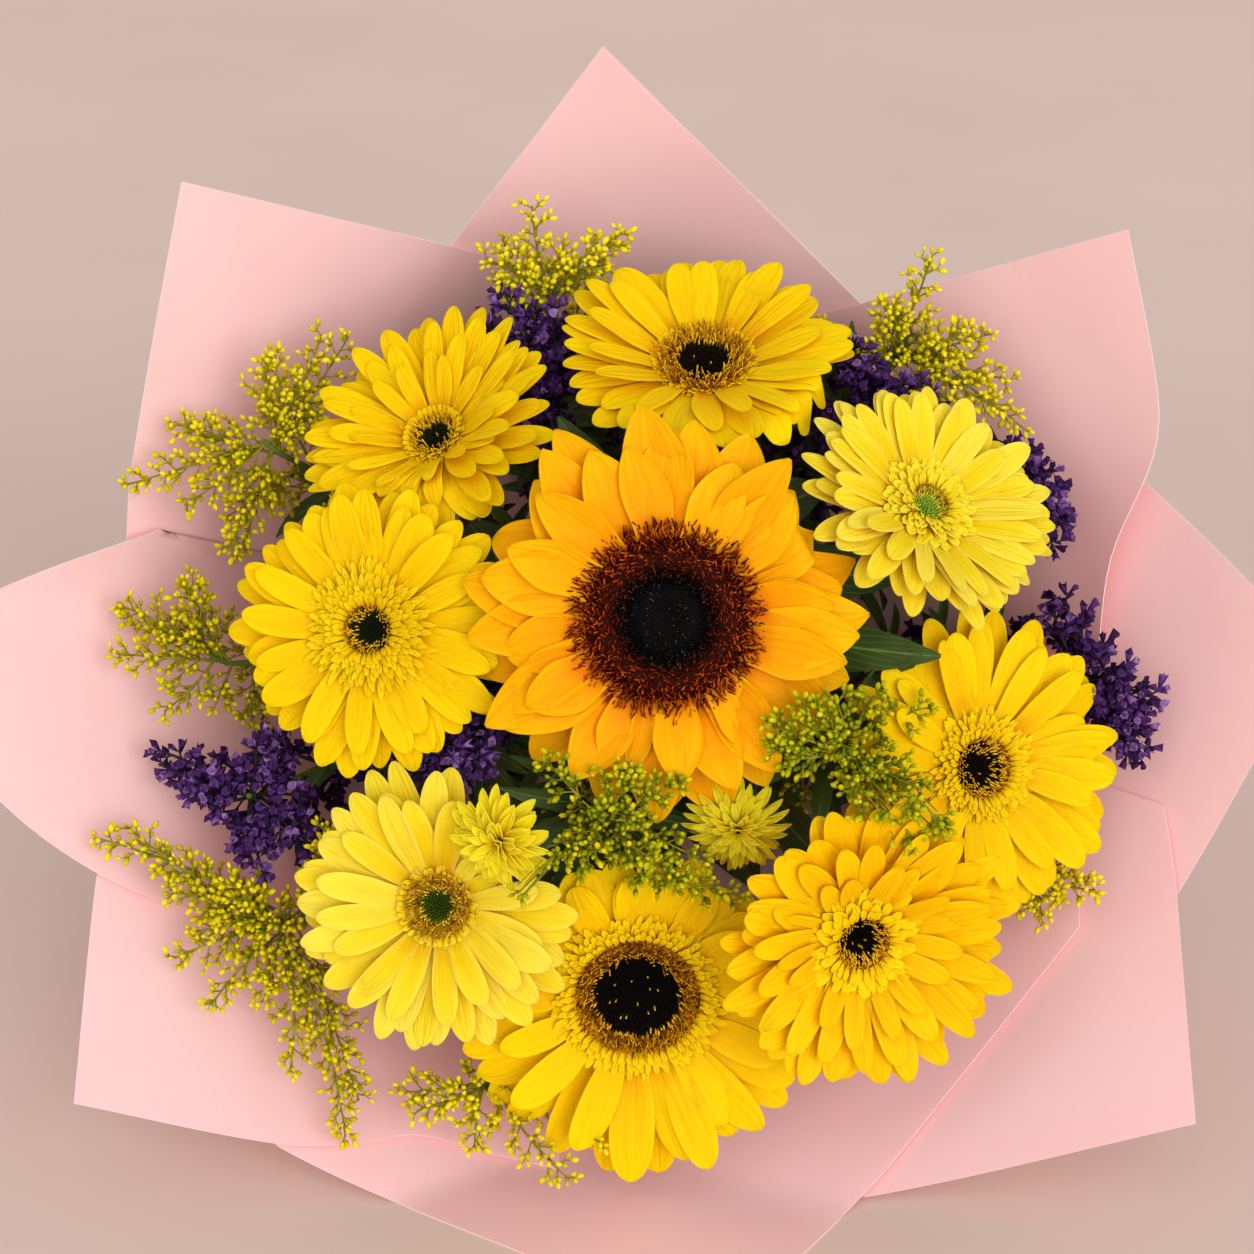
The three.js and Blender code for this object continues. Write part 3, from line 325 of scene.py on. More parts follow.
stemGreen = stemMaterial("stemGreen", (74, 100, 26), (120, 146, 54), 60)
twigGreen = stemMaterial("twigGreen", (112, 116, 6), (166, 160, 22), 200)
staticeTwig = stemMaterial("staticeTwig", (30, 22, 26), (58, 44, 50), 200)


def leafMaterial(name, dark, light, ribColour):
    material, start = startMaterial(
        name, Subsurface_Weight=0.08, Subsurface_Scale=0.002, Specular_IOR_Level=0.4)
    across, along = onBlade(start)
    aside = start.maths("ABSOLUTE", (across - 0.5) * 2)
    rib = 1 - aside.between(0.02, 0.09)
    veins = start.maths("SINE", (along * 1.4 - aside * 0.35) * 60).between(0.86, 1.0) * 0.6
    pattern = (rib + veins).clamped()
    cloud = placeOf(start).noise(70, 3)
    blade = cloud.blend(rgba(*dark), rgba(*light))
    return feed(material, Base_Color=(pattern * 0.7).blend(blade, rgba(*ribColour)),
                Roughness=0.38 + cloud * 0.2, Normal=(1 - pattern).bump(0.5, 0.0006))


leafGreen = leafMaterial("leafGreen", (30, 52, 12), (66, 92, 24), (120, 146, 60))


def paperMaterial(name, dark, light, paintedGlow):  # its last colour is a painted glow that the paper gives off, which stands in for light coming through it
    material, start = startMaterial(
        name, Subsurface_Weight=0.18, Subsurface_Scale=0.003, Subsurface_Radius=(1, 0.5, 0.45),
        Specular_IOR_Level=0.2, Emission_Strength=0.12)
    place = placeOf(start)
    fibre = place.noise(900, 4, 0.7)
    mask = ((place.noise(9, 2) - 0.5) * 1.2 + 0.5 + (fibre - 0.5) * 0.5).clamped()
    # The emission is painted light: a glow that grows toward the paper's rim with the tone, in
    # place of light coming through the paper.
    return feed(material, Base_Color=mask.blend(rgba(*dark), rgba(*light)),
                Emission_Color=toneOf(start).blend(rgba(0, 0, 0), rgba(*paintedGlow)),
                Roughness=0.62 + fibre * 0.2, Normal=fibre.bump(0.12, 0.0002))


paperPink = paperMaterial("paperPink", (229, 184, 186), (236, 200, 203), (255, 142, 130))
paperEdge = paperMaterial("paperEdge", (248, 228, 225), (252, 238, 235), (255, 236, 232))


def twineMaterial(name, dark, light):
    material, start = startMaterial(name, Specular_IOR_Level=0.2)
    hairs = placeOf(start).noise(1600, 5)
    return feed(material, Base_Color=hairs.blend(rgba(*dark), rgba(*light)),
                Roughness=0.8 + hairs * 0.1, Normal=hairs.bump(0.6, 0.0004))


twineFibre = twineMaterial("twine", (140, 106, 64), (214, 184, 140))
print("materials made")


def setUp(name, data):
    thing = bpy.data.objects.new(name, data)
    bpy.context.scene.collection.objects.link(thing)
    return thing


def finishPiece(bm, name, materials, node, thickness=None, edgeSlot=0):
    bmesh.ops.transform(bm, matrix=toWorld, verts=bm.verts)
    mesh = bpy.data.meshes.new(name)
    for face in bm.faces:
        face.smooth = True
    for edge in bm.edges:
        edge.smooth = not edge.is_boundary
    bm.to_mesh(mesh)
    bm.free()
    for material in materials:
        mesh.materials.append(material)
    piece = setUp(name, mesh)
    if thickness:
        wall = piece.modifiers.new("thickness", "SOLIDIFY")
        wall.thickness = thickness * millimetre
        wall.offset = 0
        wall.material_offset_rim = edgeSlot
    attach(piece, "root")
    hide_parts(node)


def newMesh():
    bm = bmesh.new()
    bm.loops.layers.uv.new("UVMap")
    bm.verts.layers.float.new("tone")
    return bm


def paint(bm, verts, tone):
    layer = bm.verts.layers.float["tone"]
    for vert in verts:
        vert[layer] = tone


def addGrid(bm, columns, rows, tone, materialIndex=0):  # x and y go from -0.5 to 0.5
    verts = bmesh.ops.create_grid(bm, x_segments=columns, y_segments=rows, size=0.5,
                                  calc_uvs=True)["verts"]
    paint(bm, verts, tone)
    for face in {face for vert in verts for face in vert.link_faces}:
        face.material_index = materialIndex
    return verts


def keepShape(bm, name):  # a small shape that is copied many times
    mesh = bpy.data.meshes.new(name)
    bm.to_mesh(mesh)
    bm.free()
    return mesh


def addCopies(bm, shape, places, gain=0.0):  # gain: how much the tone grows along a copy
    batch = 40  # few copies at a time are joined faster
    for first in range(0, len(places), batch):
        part = bmesh.new()
        layer = part.verts.layers.float.new("tone")
        for matrix, tone in places[first:first + batch]:
            start = len(part.verts)
            part.from_mesh(shape)
            part.verts.ensure_lookup_table()
            fresh = part.verts[start:]
            for vert in fresh:
                vert[layer] = tone + gain * vert.co.z
            bmesh.ops.transform(part, matrix=matrix, verts=fresh)
        mesh = keepShape(part, "copies")
        bm.from_mesh(mesh)
        bpy.data.meshes.remove(mesh)


def aimed(place, direction, size, spin=0.0, stretch=1.0):
    turn = direction.to_track_quat("Z", "Y").to_matrix().to_4x4()
    return (Matrix.Translation(place) @ turn @ Matrix.Rotation(spin, 4, "Z")
            @ Matrix.Diagonal((size, size, size * stretch, 1)))


def addTubes(bm, paths, sides=1, materialIndex=0):  # each path is a list of places and radii
    curve = bpy.data.curves.new("tubes", "CURVE")
    curve.dimensions = "3D"
    curve.bevel_depth = 1
    curve.bevel_resolution = sides
    curve.use_fill_caps = True
    for path in paths:
        spline = curve.splines.new("POLY")
        spline.points.add(len(path) - 1)
        for point, (place, radius) in zip(spline.points, path):
            point.co = (*place, 1)
            point.radius = radius
    holder = setUp("tubes", curve)
    mesh = bpy.data.meshes.new_from_object(holder)
    firstFace = len(bm.faces)
    bm.from_mesh(mesh)
    bm.faces.ensure_lookup_table()
    for face in bm.faces[firstFace:]:
        face.material_index = materialIndex
    bpy.data.objects.remove(holder)
    bpy.data.curves.remove(curve)
    bpy.data.meshes.remove(mesh)


# Each bloom: its place as seen, with its depth; the reach of the solid's petals and the spread
# of these; the heading and angle of its tilt; the radii of its eye and of its short florets; the
# rise and droop of its petals; its stem's angle in the neck; and the blooms that lie over it.
# Petals that point the way "crowded" are pressed short.
blooms = {
    "sunflower": {"at": (15, 3, 0), "reach": 74, "heading": 250, "tilt": 3, "root": 34,
                  "rise": 8, "droop": -10, "seed": 3, "behind": ["gerbera_h"]},
    "gerbera_a": {"at": (29, 98, -50), "reach": 55, "spread": 60, "heading": 90, "tilt": 44,
                  "eye": 12.5, "fringe": 20, "rise": 15, "droop": -12, "slot": 79, "seed": 11,
                  "behind": ["sunflower", "gerbera_h"]},
    "gerbera_b": {"at": (-71, 70, -48), "reach": 50, "spread": 55, "heading": 127, "tilt": 38,
                  "eye": 7, "fringe": 15, "rise": 17, "droop": -10, "slot": 126, "seed": 12,
                  "behind": ["sunflower", "gerbera_c"]},
    "gerbera_c": {"at": (-96, -1, -25), "reach": 53, "spread": 57, "heading": 180, "tilt": 12,
                  "eye": 7.6, "fringe": 28, "rise": 12, "droop": -14, "slot": 166, "seed": 13,
                  "behind": ["sunflower"]},
    "gerbera_d": {"at": (-71, -105, -22), "reach": 53, "spread": 55, "heading": 215, "tilt": 12,
                  "eye": 7, "fringe": 17, "rise": 14, "droop": -8, "slot": 210, "seed": 14,
                  "behind": ["mum_left"], "crowded": 46},
    "gerbera_e": {"at": (4, -138, -32), "reach": 62, "spread": 64, "heading": 270, "tilt": 20,
                  "eye": 19, "fringe": 36, "rise": 12, "droop": -12, "slot": 252, "seed": 15,
                  "behind": ["gerbera_d", "gerbera_f"]},
    "gerbera_f": {"at": (87, -117, -8), "reach": 57, "spread": 61, "heading": 310, "tilt": 25,
                  "eye": 8.5, "fringe": 34, "rise": 14, "droop": -8, "slot": 316, "seed": 16,
                  "behind": []},
    "gerbera_g": {"at": (132, -53, -44), "reach": 57, "spread": 62, "heading": 355, "tilt": 22,
                  "eye": 9.5, "fringe": 25, "rise": 12, "droop": -12, "slot": 356, "seed": 17,
                  "behind": ["gerbera_f", "sunflower", "gerbera_h"]},
    "gerbera_h": {"at": (111, 43, -30), "reach": 52, "spread": 54, "heading": 50, "tilt": 37,
                  "eye": 5.5, "fringe": 24, "rise": 16, "droop": -12, "slot": 34, "seed": 18,
                  "behind": []},
    "mum_right": {"at": (42, -76, -16), "reach": 19, "heading": 270, "tilt": 30, "rise": 34,
                  "droop": -20, "slot": 293, "seed": 21, "behind": ["sunflower"]},
    "mum_left": {"at": (-48, -81, 6), "reach": 19, "heading": 225, "tilt": 36, "rise": 34,
                 "droop": -20, "slot": 238, "seed": 22, "behind": []},
}
for bloom in blooms.values():
    heading, tilt = math.radians(bloom["heading"]), math.radians(bloom["tilt"])
    facing = turned(heading) * math.sin(tilt) + forward(math.cos(tilt))
    side = (Vector((1, 0, 0)) - facing * facing.x).normalized()
    turn = Matrix((side, facing.cross(side), facing)).transposed().to_4x4()
    bloom["facing"] = facing
    bloom["centre"] = seen(*bloom["at"])
    bloom["place"] = Matrix.Translation(bloom["centre"]) @ turn
    bloom["inverse"] = bloom["place"].inverted()
    bloom.setdefault("root", max(bloom["reach"] * 0.24, bloom.get("eye", 0) + 5.5))


# Petals that lie behind another bloom are pushed back under its petals, which start some degrees
# below its rise. The push fades out between two distances past its reach.
passing = {"under": 5, "near": 2, "far": 14}


def petalHeight(bloom, distance):
    along = min(max(distance / bloom["reach"], 0), 1)
    climb = bloom["rise"] - passing["under"] + bloom["droop"] * along / 2
    slope = math.tan(math.radians(climb))
    return max(0, distance - bloom["root"]) * slope


def retreat(point, behind, clearance):  # how far a point goes back to pass behind other blooms
    moved = point.copy()
    for name in behind:
        front = blooms[name]
        local = front["inverse"] @ moved
        distance = math.hypot(local.x, local.y)
        low, high = front["reach"] + passing["near"], front["reach"] + passing["far"]
        hold = 1 - smooth(low, high, distance)
        excess = local.z - petalHeight(front, distance) + clearance
        if hold > 0 and excess > 0:
            moved -= front["facing"] * excess * hold
    return moved - point


# What a ring of petals is like where it says nothing else. The spreads are of its angles in
# degrees or, for the length, a share of it. The width grows from the waist and narrows past tip.
plainPetal = {"material": 0, "waist": 0.5, "blunt": 2.6, "point": 0.6, "stretch": 0, "curl": 0,
              "roll": 8, "sway": 0.05, "cup": 0.2, "groove": 0.22, "ridges": 2, "ripple": 0.35,
              "lengthSpread": 0.07, "riseSpread": 3, "droopSpread": 8}
crowding = {"within": 0.86, "length": 0.45, "width": 0.75}
petalThickness = {"sunflower": 0.5, "gerbera": 0.28, "mum": 0.35}


def petalWidth(along, ring):  # as a share of its widest
    share = mix(ring["waist"], 1.0, smooth(0.0, 0.58, along))
    tip = ring["tip"]
    if along > tip:
        beyond = (along - tip) / (1 - tip)
        share *= max(0.02, 1 - beyond ** ring["blunt"]) ** ring["point"]
    return share


def petalLine(ring, length, climb, droop, curl):  # each row's share, radius, height and slope
    line = []
    rows = ring["grid"][1]
    radius, height, before = ring["root"], ring["height"], 0.0
    for row in range(rows + 1):
        along = 1 - (1 - row / rows) ** 1.45
        slope = math.radians(climb + droop * along - curl * max(0, along - 0.6) ** 2 * 6)
        radius += (along - before) * length * math.cos(slope)
        height += (along - before) * length * math.sin(slope)
        before = along
        line.append((along, radius, height, slope))
    return line


def layPetal(bm, bloom, ring, turn, draw):
    ring = {**plainPetal, **ring}
    columns, rows = ring["grid"]
    outward, across = turned(turn), turned(turn + math.pi / 2)
    crowd = turned(math.radians(bloom["crowded"])) if "crowded" in bloom else Vector()
    crowded = outward.dot(crowd) > crowding["within"]
    length = ring["length"] * (1 + ring["lengthSpread"] * draw.uniform(-1, 1))
    length *= (crowding["length"] if crowded else 1) * (1 + ring["stretch"] * max(-outward.y, -0.3))
    width = ring["width"] * (1 + 0.1 * draw.uniform(-1, 1)) * (crowding["width"] if crowded else 1)
    climb = ring["rise"] + ring["riseSpread"] * draw.uniform(-1, 1)
    droop = ring["droop"] + ring["droopSpread"] * draw.uniform(-1, 1)
    curl = ring["curl"] * draw.uniform(0.3, 1.5)
    roll = math.radians(ring["roll"]) * draw.uniform(-1, 1)
    sway = ring["sway"] * draw.uniform(-1, 1)
    cup = ring["cup"] * draw.uniform(0.6, 1.5)
    phase, tone = draw.uniform(0, 6), draw.random()
    line = petalLine(ring, length, climb, droop, curl)
    byRow = [[] for _ in line]
    for vert in addGrid(bm, columns, rows, tone, ring["material"]):
        byRow[round((vert.co.y + 0.5) * rows)].append(vert)
    shifts = []
    for verts, (along, radius, height, slope) in zip(byRow, line):
        share = petalWidth(along, ring)
        half = width / 2 * share
        above = outward * -math.sin(slope) + forward(math.cos(slope))
        sideways = across * math.cos(roll * along) + above * math.sin(roll * along)
        middle = outward * radius + across * sway * length * along * along + forward(height)
        fade = math.sin(math.pi * min(along * 1.05, 1)) ** 0.5
        for vert in verts:
            x = vert.co.x * 2
            groove = ring["groove"] * math.cos(x * math.pi * ring["ridges"])
            ripple = ring["ripple"] * math.sin(along * 7 + x * 1.7 + phase)
            raised = cup * half * x * x + (groove + ripple * abs(x)) * fade * share
            vert.co = bloom["place"] @ (middle + sideways * half * x + above * raised)
        ends = verts[0].co, verts[-1].co, verts[columns // 2].co
        shifts.append(max((retreat(end, bloom["behind"], ring["clearance"]) for end in ends),
                          key=lambda step: step.length))
    for row, verts in enumerate(byRow):
        step = (shifts[max(row - 1, 0)] + shifts[row] * 2 + shifts[min(row + 1, rows)]) / 4
        for vert in verts:
            vert.co += step


def layRings(bm, bloom, rings, draw):
    for ring in rings:
        pitch = math.tau / ring["count"]
        for k in range(ring["count"]):
            stray = ring.get("stray", 0.22) * draw.uniform(-1, 1)
            layPetal(bm, bloom, ring, (k + ring.get("phase", 0) + stray) * pitch, draw)


def layHub(bm, bloom, profile):  # the turned body that the petals grow from
    # Each step of the profile is a radius, a height and a tone.
    radius, height, tone = profile[0]
    made = bmesh.ops.create_circle(bm, segments=32, radius=radius)["verts"]
    edges = list(dict.fromkeys(edge for vert in made for edge in vert.link_edges))
    bmesh.ops.translate(bm, vec=(0, 0, height), verts=made)
    paint(bm, made, tone)
    for nextRadius, nextHeight, tone in profile[1:]:
        out = bmesh.ops.extrude_edge_only(bm, edges=edges)["geom"]
        verts = [item for item in out if isinstance(item, bmesh.types.BMVert)]
        edges = [item for item in out if isinstance(item, bmesh.types.BMEdge)]
        bmesh.ops.translate(bm, vec=(0, 0, nextHeight - height), verts=verts)
        share = nextRadius / radius
        bmesh.ops.scale(bm, vec=(share, share, 1), verts=verts)
        radius, height = nextRadius, nextHeight
        paint(bm, verts, tone)
        made += verts
    bmesh.ops.contextual_create(bm, geom=edges)
    bmesh.ops.transform(bm, matrix=bloom["place"], verts=made)
    faces = list({face for vert in made for face in vert.link_faces})
    bmesh.ops.recalc_face_normals(bm, faces=faces)


floret = bmesh.new()
bmesh.ops.create_cone(floret, cap_ends=True, segments=5, radius1=0.6, radius2=0.34, depth=1)
bmesh.ops.translate(floret, vec=(0, 0, 0.5), verts=floret.verts)
floretShape = keepShape(floret, "floret")

anther = bmesh.new()
bmesh.ops.create_cone(anther, cap_ends=True, segments=4, radius1=0.22, radius2=0.2, depth=1)
bmesh.ops.create_icosphere(anther, subdivisions=1, radius=0.34,
                           matrix=Matrix.Translation((0, 0, 0.55)) @ Matrix.Scale(0.8, 4))
bmesh.ops.translate(anther, vec=(0, 0, 0.5), verts=anther.verts)
antherShape = keepShape(anther, "anther")

# What each gerbera shows: its colours, the counts and widths of its rings of petals, and its
# eye, where the stamens lie between two radii and the share past "dots" has light florets.
gerberaLooks = {
    "gerbera_a": {"petals": "yellow", "eye": "dark", "count": 19, "width": 13.0, "fringe": 2,
                  "fringeWidth": (2.2, 2.0), "stamens": (10, 19.5), "stamenTone": 0.9,
                  "dots": 0.9, "lift": 7, "core": 10.3},
    "gerbera_b": {"petals": "yellow", "eye": "olive", "count": 22, "width": 10.8, "fringe": 4,
                  "fringeWidth": (2.6, 2.0), "stamens": (6, 11), "stamenTone": 0.9,
                  "dots": 0.8, "lift": 7, "double": True},
    "gerbera_c": {"petals": "yellow", "eye": "olive", "count": 22, "width": 12.8, "fringe": 8,
                  "fringeWidth": (2.5, 2.0), "stamens": (6.5, 11), "stamenTone": 0.97,
                  "dots": 0.6},
    "gerbera_d": {"petals": "pale", "eye": "green", "count": 21, "width": 12.4, "fringe": 3,
                  "fringeWidth": (2.4, 2.0), "stamens": (5.8, 14), "stamenTone": 0.9,
                  "dots": 0.9, "core": 5.6},
    "gerbera_e": {"petals": "yellow", "eye": "black", "count": 18, "width": 16.4, "fringe": 5,
                  "fringeWidth": (2.8, 2.2), "stamens": (16.8, 26), "stamenTone": 0.86,
                  "dots": 0.95, "stretch": 0.36, "core": 16.6},
    "gerbera_f": {"petals": "orange", "eye": "black", "count": 23, "width": 13.2, "fringe": 7,
                  "fringeWidth": (9.0, 2.6), "stamens": (7, 12), "stamenTone": 0.98,
                  "dots": 0.6, "lie": 6, "lift": 9, "double": True},
    "gerbera_g": {"petals": "yellow", "eye": "dark", "count": 22, "width": 13.4, "fringe": 6,
                  "fringeWidth": (2.6, 2.0), "stamens": (9, 13.5), "stamenTone": 0.97,
                  "dots": 0.5},
    "gerbera_h": {"petals": "pale", "eye": "lime", "count": 25, "width": 11.2, "fringe": 8,
                  "fringeWidth": (5.0, 2.2), "stamens": (5.5, 9.5), "stamenTone": 0.88,
                  "dots": 0.9, "lift": 6, "lie": 10},
}
# The florets of their eyes: how far apart, how tall as a share of their size, the dome that they
# make, and how many stamens there are for the area of their ring.
gerberaEye = {"spacing": 0.58, "size": 0.66, "tall": (2.4, 4.2), "base": 2.6, "dome": 1.7,
              "light": 0.75, "stamenDensity": 2.1, "stamenSize": (0.8, 1.15),
              "stamenTall": (3.0, 5.6), "stamenBase": 3.4}


def gerberaRings(bloom, look):
    root, length = bloom["root"], bloom["spread"] + 2 - bloom["root"]
    climb = bloom["rise"] + look.get("lift", 0)
    count, width = look["count"], look["width"]
    base = {"grid": (8, 14), "count": count, "width": width, "droop": bloom["droop"], "tip": 0.62,
            "blunt": 2.5, "point": 0.52, "waist": 0.55, "cup": 0.05, "curl": 9, "groove": 0.22,
            "ridges": 3, "roll": 14, "sway": 0.1, "riseSpread": 6, "lengthSpread": 0.09,
            "stretch": look.get("stretch", 0)}
    short = {**base, "count": count - 7, "phase": 0.7, "root": root - 3.5, "height": 3.8,
             "clearance": 2.6, "length": length * 0.62, "rise": climb + 12, "width": width * 0.66}
    rings = ([short] if look.get("double") else []) + [
        {**base, "root": root - 2, "height": 0, "clearance": 6, "length": length,
         "rise": climb - 3},
        {**base, "phase": 0.5, "root": root - 2.5, "height": 1.4, "clearance": 4.5,
         "length": length * 0.96, "rise": climb + 2},
        {**base, "count": count - 5, "phase": 0.25, "root": root - 3, "height": 2.8,
         "clearance": 3.2, "length": length * 0.84, "rise": climb + 7, "width": width * 0.86},
    ]
    # The short florets stand up in rings that shorten toward the ring of stamens.
    inner = look["stamens"][1] - 1.5
    outer = max(bloom["fringe"], inner + 4)
    steps = look["fringe"]
    for k in range(steps):
        share = (k + 1) / steps
        tipRadius = mix(outer, inner + 2.5, (k / steps) ** 0.9)
        rootRadius = mix(min(root, outer - 4), inner, share)
        width = mix(*look["fringeWidth"], k / max(steps - 1, 1))
        rings.append({
            "grid": (4 if width > 4 else 2, 5), "count": round(math.tau * tipRadius / width / 1.35),
            "phase": 0.37 * k, "root": rootRadius, "height": 3.0 + 1.0 * k, "clearance": 2.4,
            "length": max(tipRadius - rootRadius, 3.8) * 1.12, "width": width,
            "rise": climb + look.get("lie", 14) + 2 * look.get("lie", 13) * share,
            "riseSpread": 10, "droop": -30, "tip": 0.7, "waist": 0.4, "cup": 0.3, "roll": 25,
            "groove": 0, "ripple": 0.1, "sway": 0.2, "material": 1})
    return rings


def spiralPlaces(radius, spacing):
    count = int((radius / spacing) ** 2)
    return [(spacing * math.sqrt(k + 0.5), k * spiralTurn) for k in range(count)]


def buildGerbera(name, look):
    bloom = blooms[name]
    place = bloom["place"]
    draw = random.Random(bloom["seed"])
    bm = newMesh()
    layRings(bm, bloom, gerberaRings(bloom, look), draw)
    fringe = "paleFringe" if look["petals"] == "pale" else "fringe"
    finishPiece(bm, name + "Petals", [petalMaterials[look["petals"]], petalMaterials[fringe]],
                name + "_petals", thickness=petalThickness["gerbera"])
    # The eye: a domed cushion of closed florets inside a ring of open ones with their stamens.
    bm = newMesh()
    eye = look.get("core", bloom["eye"])
    low, high = look["stamens"]
    layHub(bm, bloom, [
        (bloom["root"] * 0.8, -2.6, 0.7), (bloom["root"] * 0.98, 0.4, 0.8),
        (max(eye + 2.4, high - 1), 3.0, 0.8), (eye + 0.8, 3.6, 0.66), (eye - 0.4, 3.6, 0.1),
        (eye * 0.5, 3.4, 0.05), (0.4, 2.4, 0.05)])
    florets = []
    for radius, angle in spiralPlaces(eye + 1, gerberaEye["spacing"]):
        share = radius / eye
        spot = turned(angle) * radius + forward(gerberaEye["base"] + gerberaEye["dome"] * share)
        aim = turned(angle) * (0.5 * share) + forward(1)
        dotted = share > look["dots"] and draw.random() > 0.5 or draw.random() > 0.985
        tone = 0.1 + 0.4 * share * share * draw.random() + (gerberaEye["light"] if dotted else 0)
        spin, stretch = draw.uniform(0, 6), draw.uniform(*gerberaEye["tall"])
        turn = aimed(spot, aim, gerberaEye["size"], spin, stretch)
        florets.append((place @ turn, min(1, tone)))
    addCopies(bm, floretShape, florets, gain=0.04)
    stamens = []
    for _ in range(round((high - low) * (high + low) * gerberaEye["stamenDensity"])):
        radius = mix(low, high, draw.random() ** 0.8)
        angle = draw.uniform(0, math.tau)
        spot = turned(angle) * radius * 0.94 + forward(gerberaEye["stamenBase"])
        aim = (turned(angle) * draw.uniform(-0.2, 0.9)
               + turned(angle + 1.6) * draw.uniform(-0.7, 0.7) + forward(1))
        tone = look["stamenTone"] + draw.uniform(-0.3, 0.0)
        size, spin = draw.uniform(*gerberaEye["stamenSize"]), draw.uniform(0, 6)
        stretch = draw.uniform(*gerberaEye["stamenTall"])
        stamens.append((place @ aimed(spot, aim, size, spin, stretch), tone))
    addCopies(bm, antherShape, stamens, gain=0.1)
    finishPiece(bm, name + "Eye", [toneMaterials[look["eye"] + "Eye"]],
                name + "_eye")


for name, look in gerberaLooks.items():
    buildGerbera(name, look)
print("gerberas made")

sunflowerLook = {
    "rings": [
        {"count": 19, "phase": 0.0, "root": 31, "height": -0.6, "length": 47, "width": 26,
         "rise": 4, "droop": -10, "clearance": 6.5},
        {"count": 17, "phase": 0.5, "root": 31, "height": 1.6, "length": 43, "width": 25,
         "rise": 12, "droop": -14, "clearance": 5},
        {"count": 12, "phase": 0.3, "root": 31, "height": 3.2, "length": 36, "width": 22,
         "rise": 18, "droop": -20, "clearance": 3.4},
    ],
    "shared": {"grid": (10, 16), "tip": 0.35, "blunt": 2.0, "point": 0.75, "waist": 0.72,
               "cup": 0.2, "curl": 24, "roll": 22, "groove": 0.3, "ridges": 4, "ripple": 1.3,
               "sway": 0.2, "riseSpread": 9, "droopSpread": 16, "lengthSpread": 0.12},
    "discRadius": 35.5,
    "discSpacing": 0.74,
    "discTall": (4.5, 8.5),
    "discHub": [(31, -4, 0.2), (32.4, 2.4, 0.2), (30, 4.6, 0.2), (24, 6.2, 0.15), (18, 5.6, 0.0),
                (16, 2.8, 0.0)],
    "eyeRadius": 17.5,
    "eyeSpacing": 0.55,
    "eyeTall": (2.4, 5.6),
    "floretBase": 5.2,
    "eyeHub": [(15.8, 3.6, 0.1), (16.6, 5.8, 0.1), (10, 6.6, 0.1), (5, 5.6, 0.1), (0.5, 4.8, 0.1)],
}


def buildSunflower(look):
    bloom = blooms["sunflower"]
    place = bloom["place"]
    draw = random.Random(bloom["seed"])
    disc, eye = look["discRadius"], look["eyeRadius"]
    bm = newMesh()
    layRings(bm, bloom, [{**look["shared"], **ring} for ring in look["rings"]], draw)
    finishPiece(bm, "sunflowerPetals", [petalMaterials["sunflower"]],
                "sunflower_petals", thickness=petalThickness["sunflower"])
    bm = newMesh()
    layHub(bm, bloom, look["discHub"])
    florets = []
    for radius, angle in spiralPlaces(disc, look["discSpacing"]):
        if radius < eye - 1:
            continue
        share = max(0, (radius - eye) / (disc - eye))
        spot = turned(angle) * radius + forward(look["floretBase"] - 3.4 * max(0, share - 0.5))
        aim = (turned(angle) * mix(-0.4, 1.2, share)
               + turned(angle + 1.57) * draw.uniform(-0.9, 0.9) + forward(1))
        size, spin = draw.uniform(0.55, 0.85), draw.uniform(0, 6)
        stretch = mix(0.45, 1, share) ** 0.5 * draw.uniform(*look["discTall"])
        tone = smooth(-0.2, 0.45, share) * mix(0.15, 0.8, draw.random())
        florets.append((place @ aimed(spot, aim, size, spin, stretch), tone))
    addCopies(bm, floretShape, florets, gain=0.2)
    finishPiece(bm, "sunflowerDisc", [toneMaterials["sunflowerDisc"]],
                "sunflower_disc")
    bm = newMesh()
    layHub(bm, bloom, look["eyeHub"])
    florets = []
    for radius, angle in spiralPlaces(eye + 1, look["eyeSpacing"]):
        share = radius / eye
        spot = turned(angle) * radius + forward(look["floretBase"] + 1.4 * math.sin(share * 2.6))
        aim = turned(angle) * mix(-0.1, 0.5, share) + forward(1)
        tone = 0.55 * draw.random() + (0.4 if draw.random() > 0.88 else 0)
        spin, stretch = draw.uniform(0, 6), draw.uniform(*look["eyeTall"])
        florets.append((place @ aimed(spot, aim, look["eyeSpacing"], spin, stretch), tone))
    addCopies(bm, floretShape, florets)
    finishPiece(bm, "sunflowerEye", [toneMaterials["sunflowerEye"]],
                "sunflower_eye")


buildSunflower(sunflowerLook)
print("sunflower made")

mumLooks = {  # each pair is at the outer ring and at the inner one
    "mum_right": {"counts": (24, 9), "lengths": (16.5, 8), "widths": (3.5, 2.4)},
    "mum_left": {"counts": (18, 8), "lengths": (17.5, 9), "widths": (5.2, 3.4)},
}


mumPetals = {"grid": (4, 8), "riseSpread": 12, "droop": -22, "tip": 0.5, "cup": 0.4, "curl": 6,
             "point": 0.75, "roll": 18, "groove": 0.06, "ripple": 0.1, "sway": 0.16}
mumRings = 6


def buildMum(name, look):
    bloom = blooms[name]
    draw = random.Random(bloom["seed"])
    rings = []
    for k in range(mumRings):
        share = k / (mumRings - 1)
        rings.append({**mumPetals, "count": round(mix(*look["counts"], share)), "phase": 0.4 * k,
                      "root": mix(4.6, 1.2, share), "height": mix(-0.4, 3.4, share),
                      "clearance": mix(4.5, 2.4, share), "length": mix(*look["lengths"], share),
                      "width": mix(*look["widths"], share), "rise": mix(8, 60, share)})
    bm = newMesh()
    layRings(bm, bloom, rings, draw)
    finishPiece(bm, name + "Head", [petalMaterials["mum"]], name + "_head",
                thickness=petalThickness["mum"])


for name, look in mumLooks.items():
    buildMum(name, look)
print("chrysanthemums made")

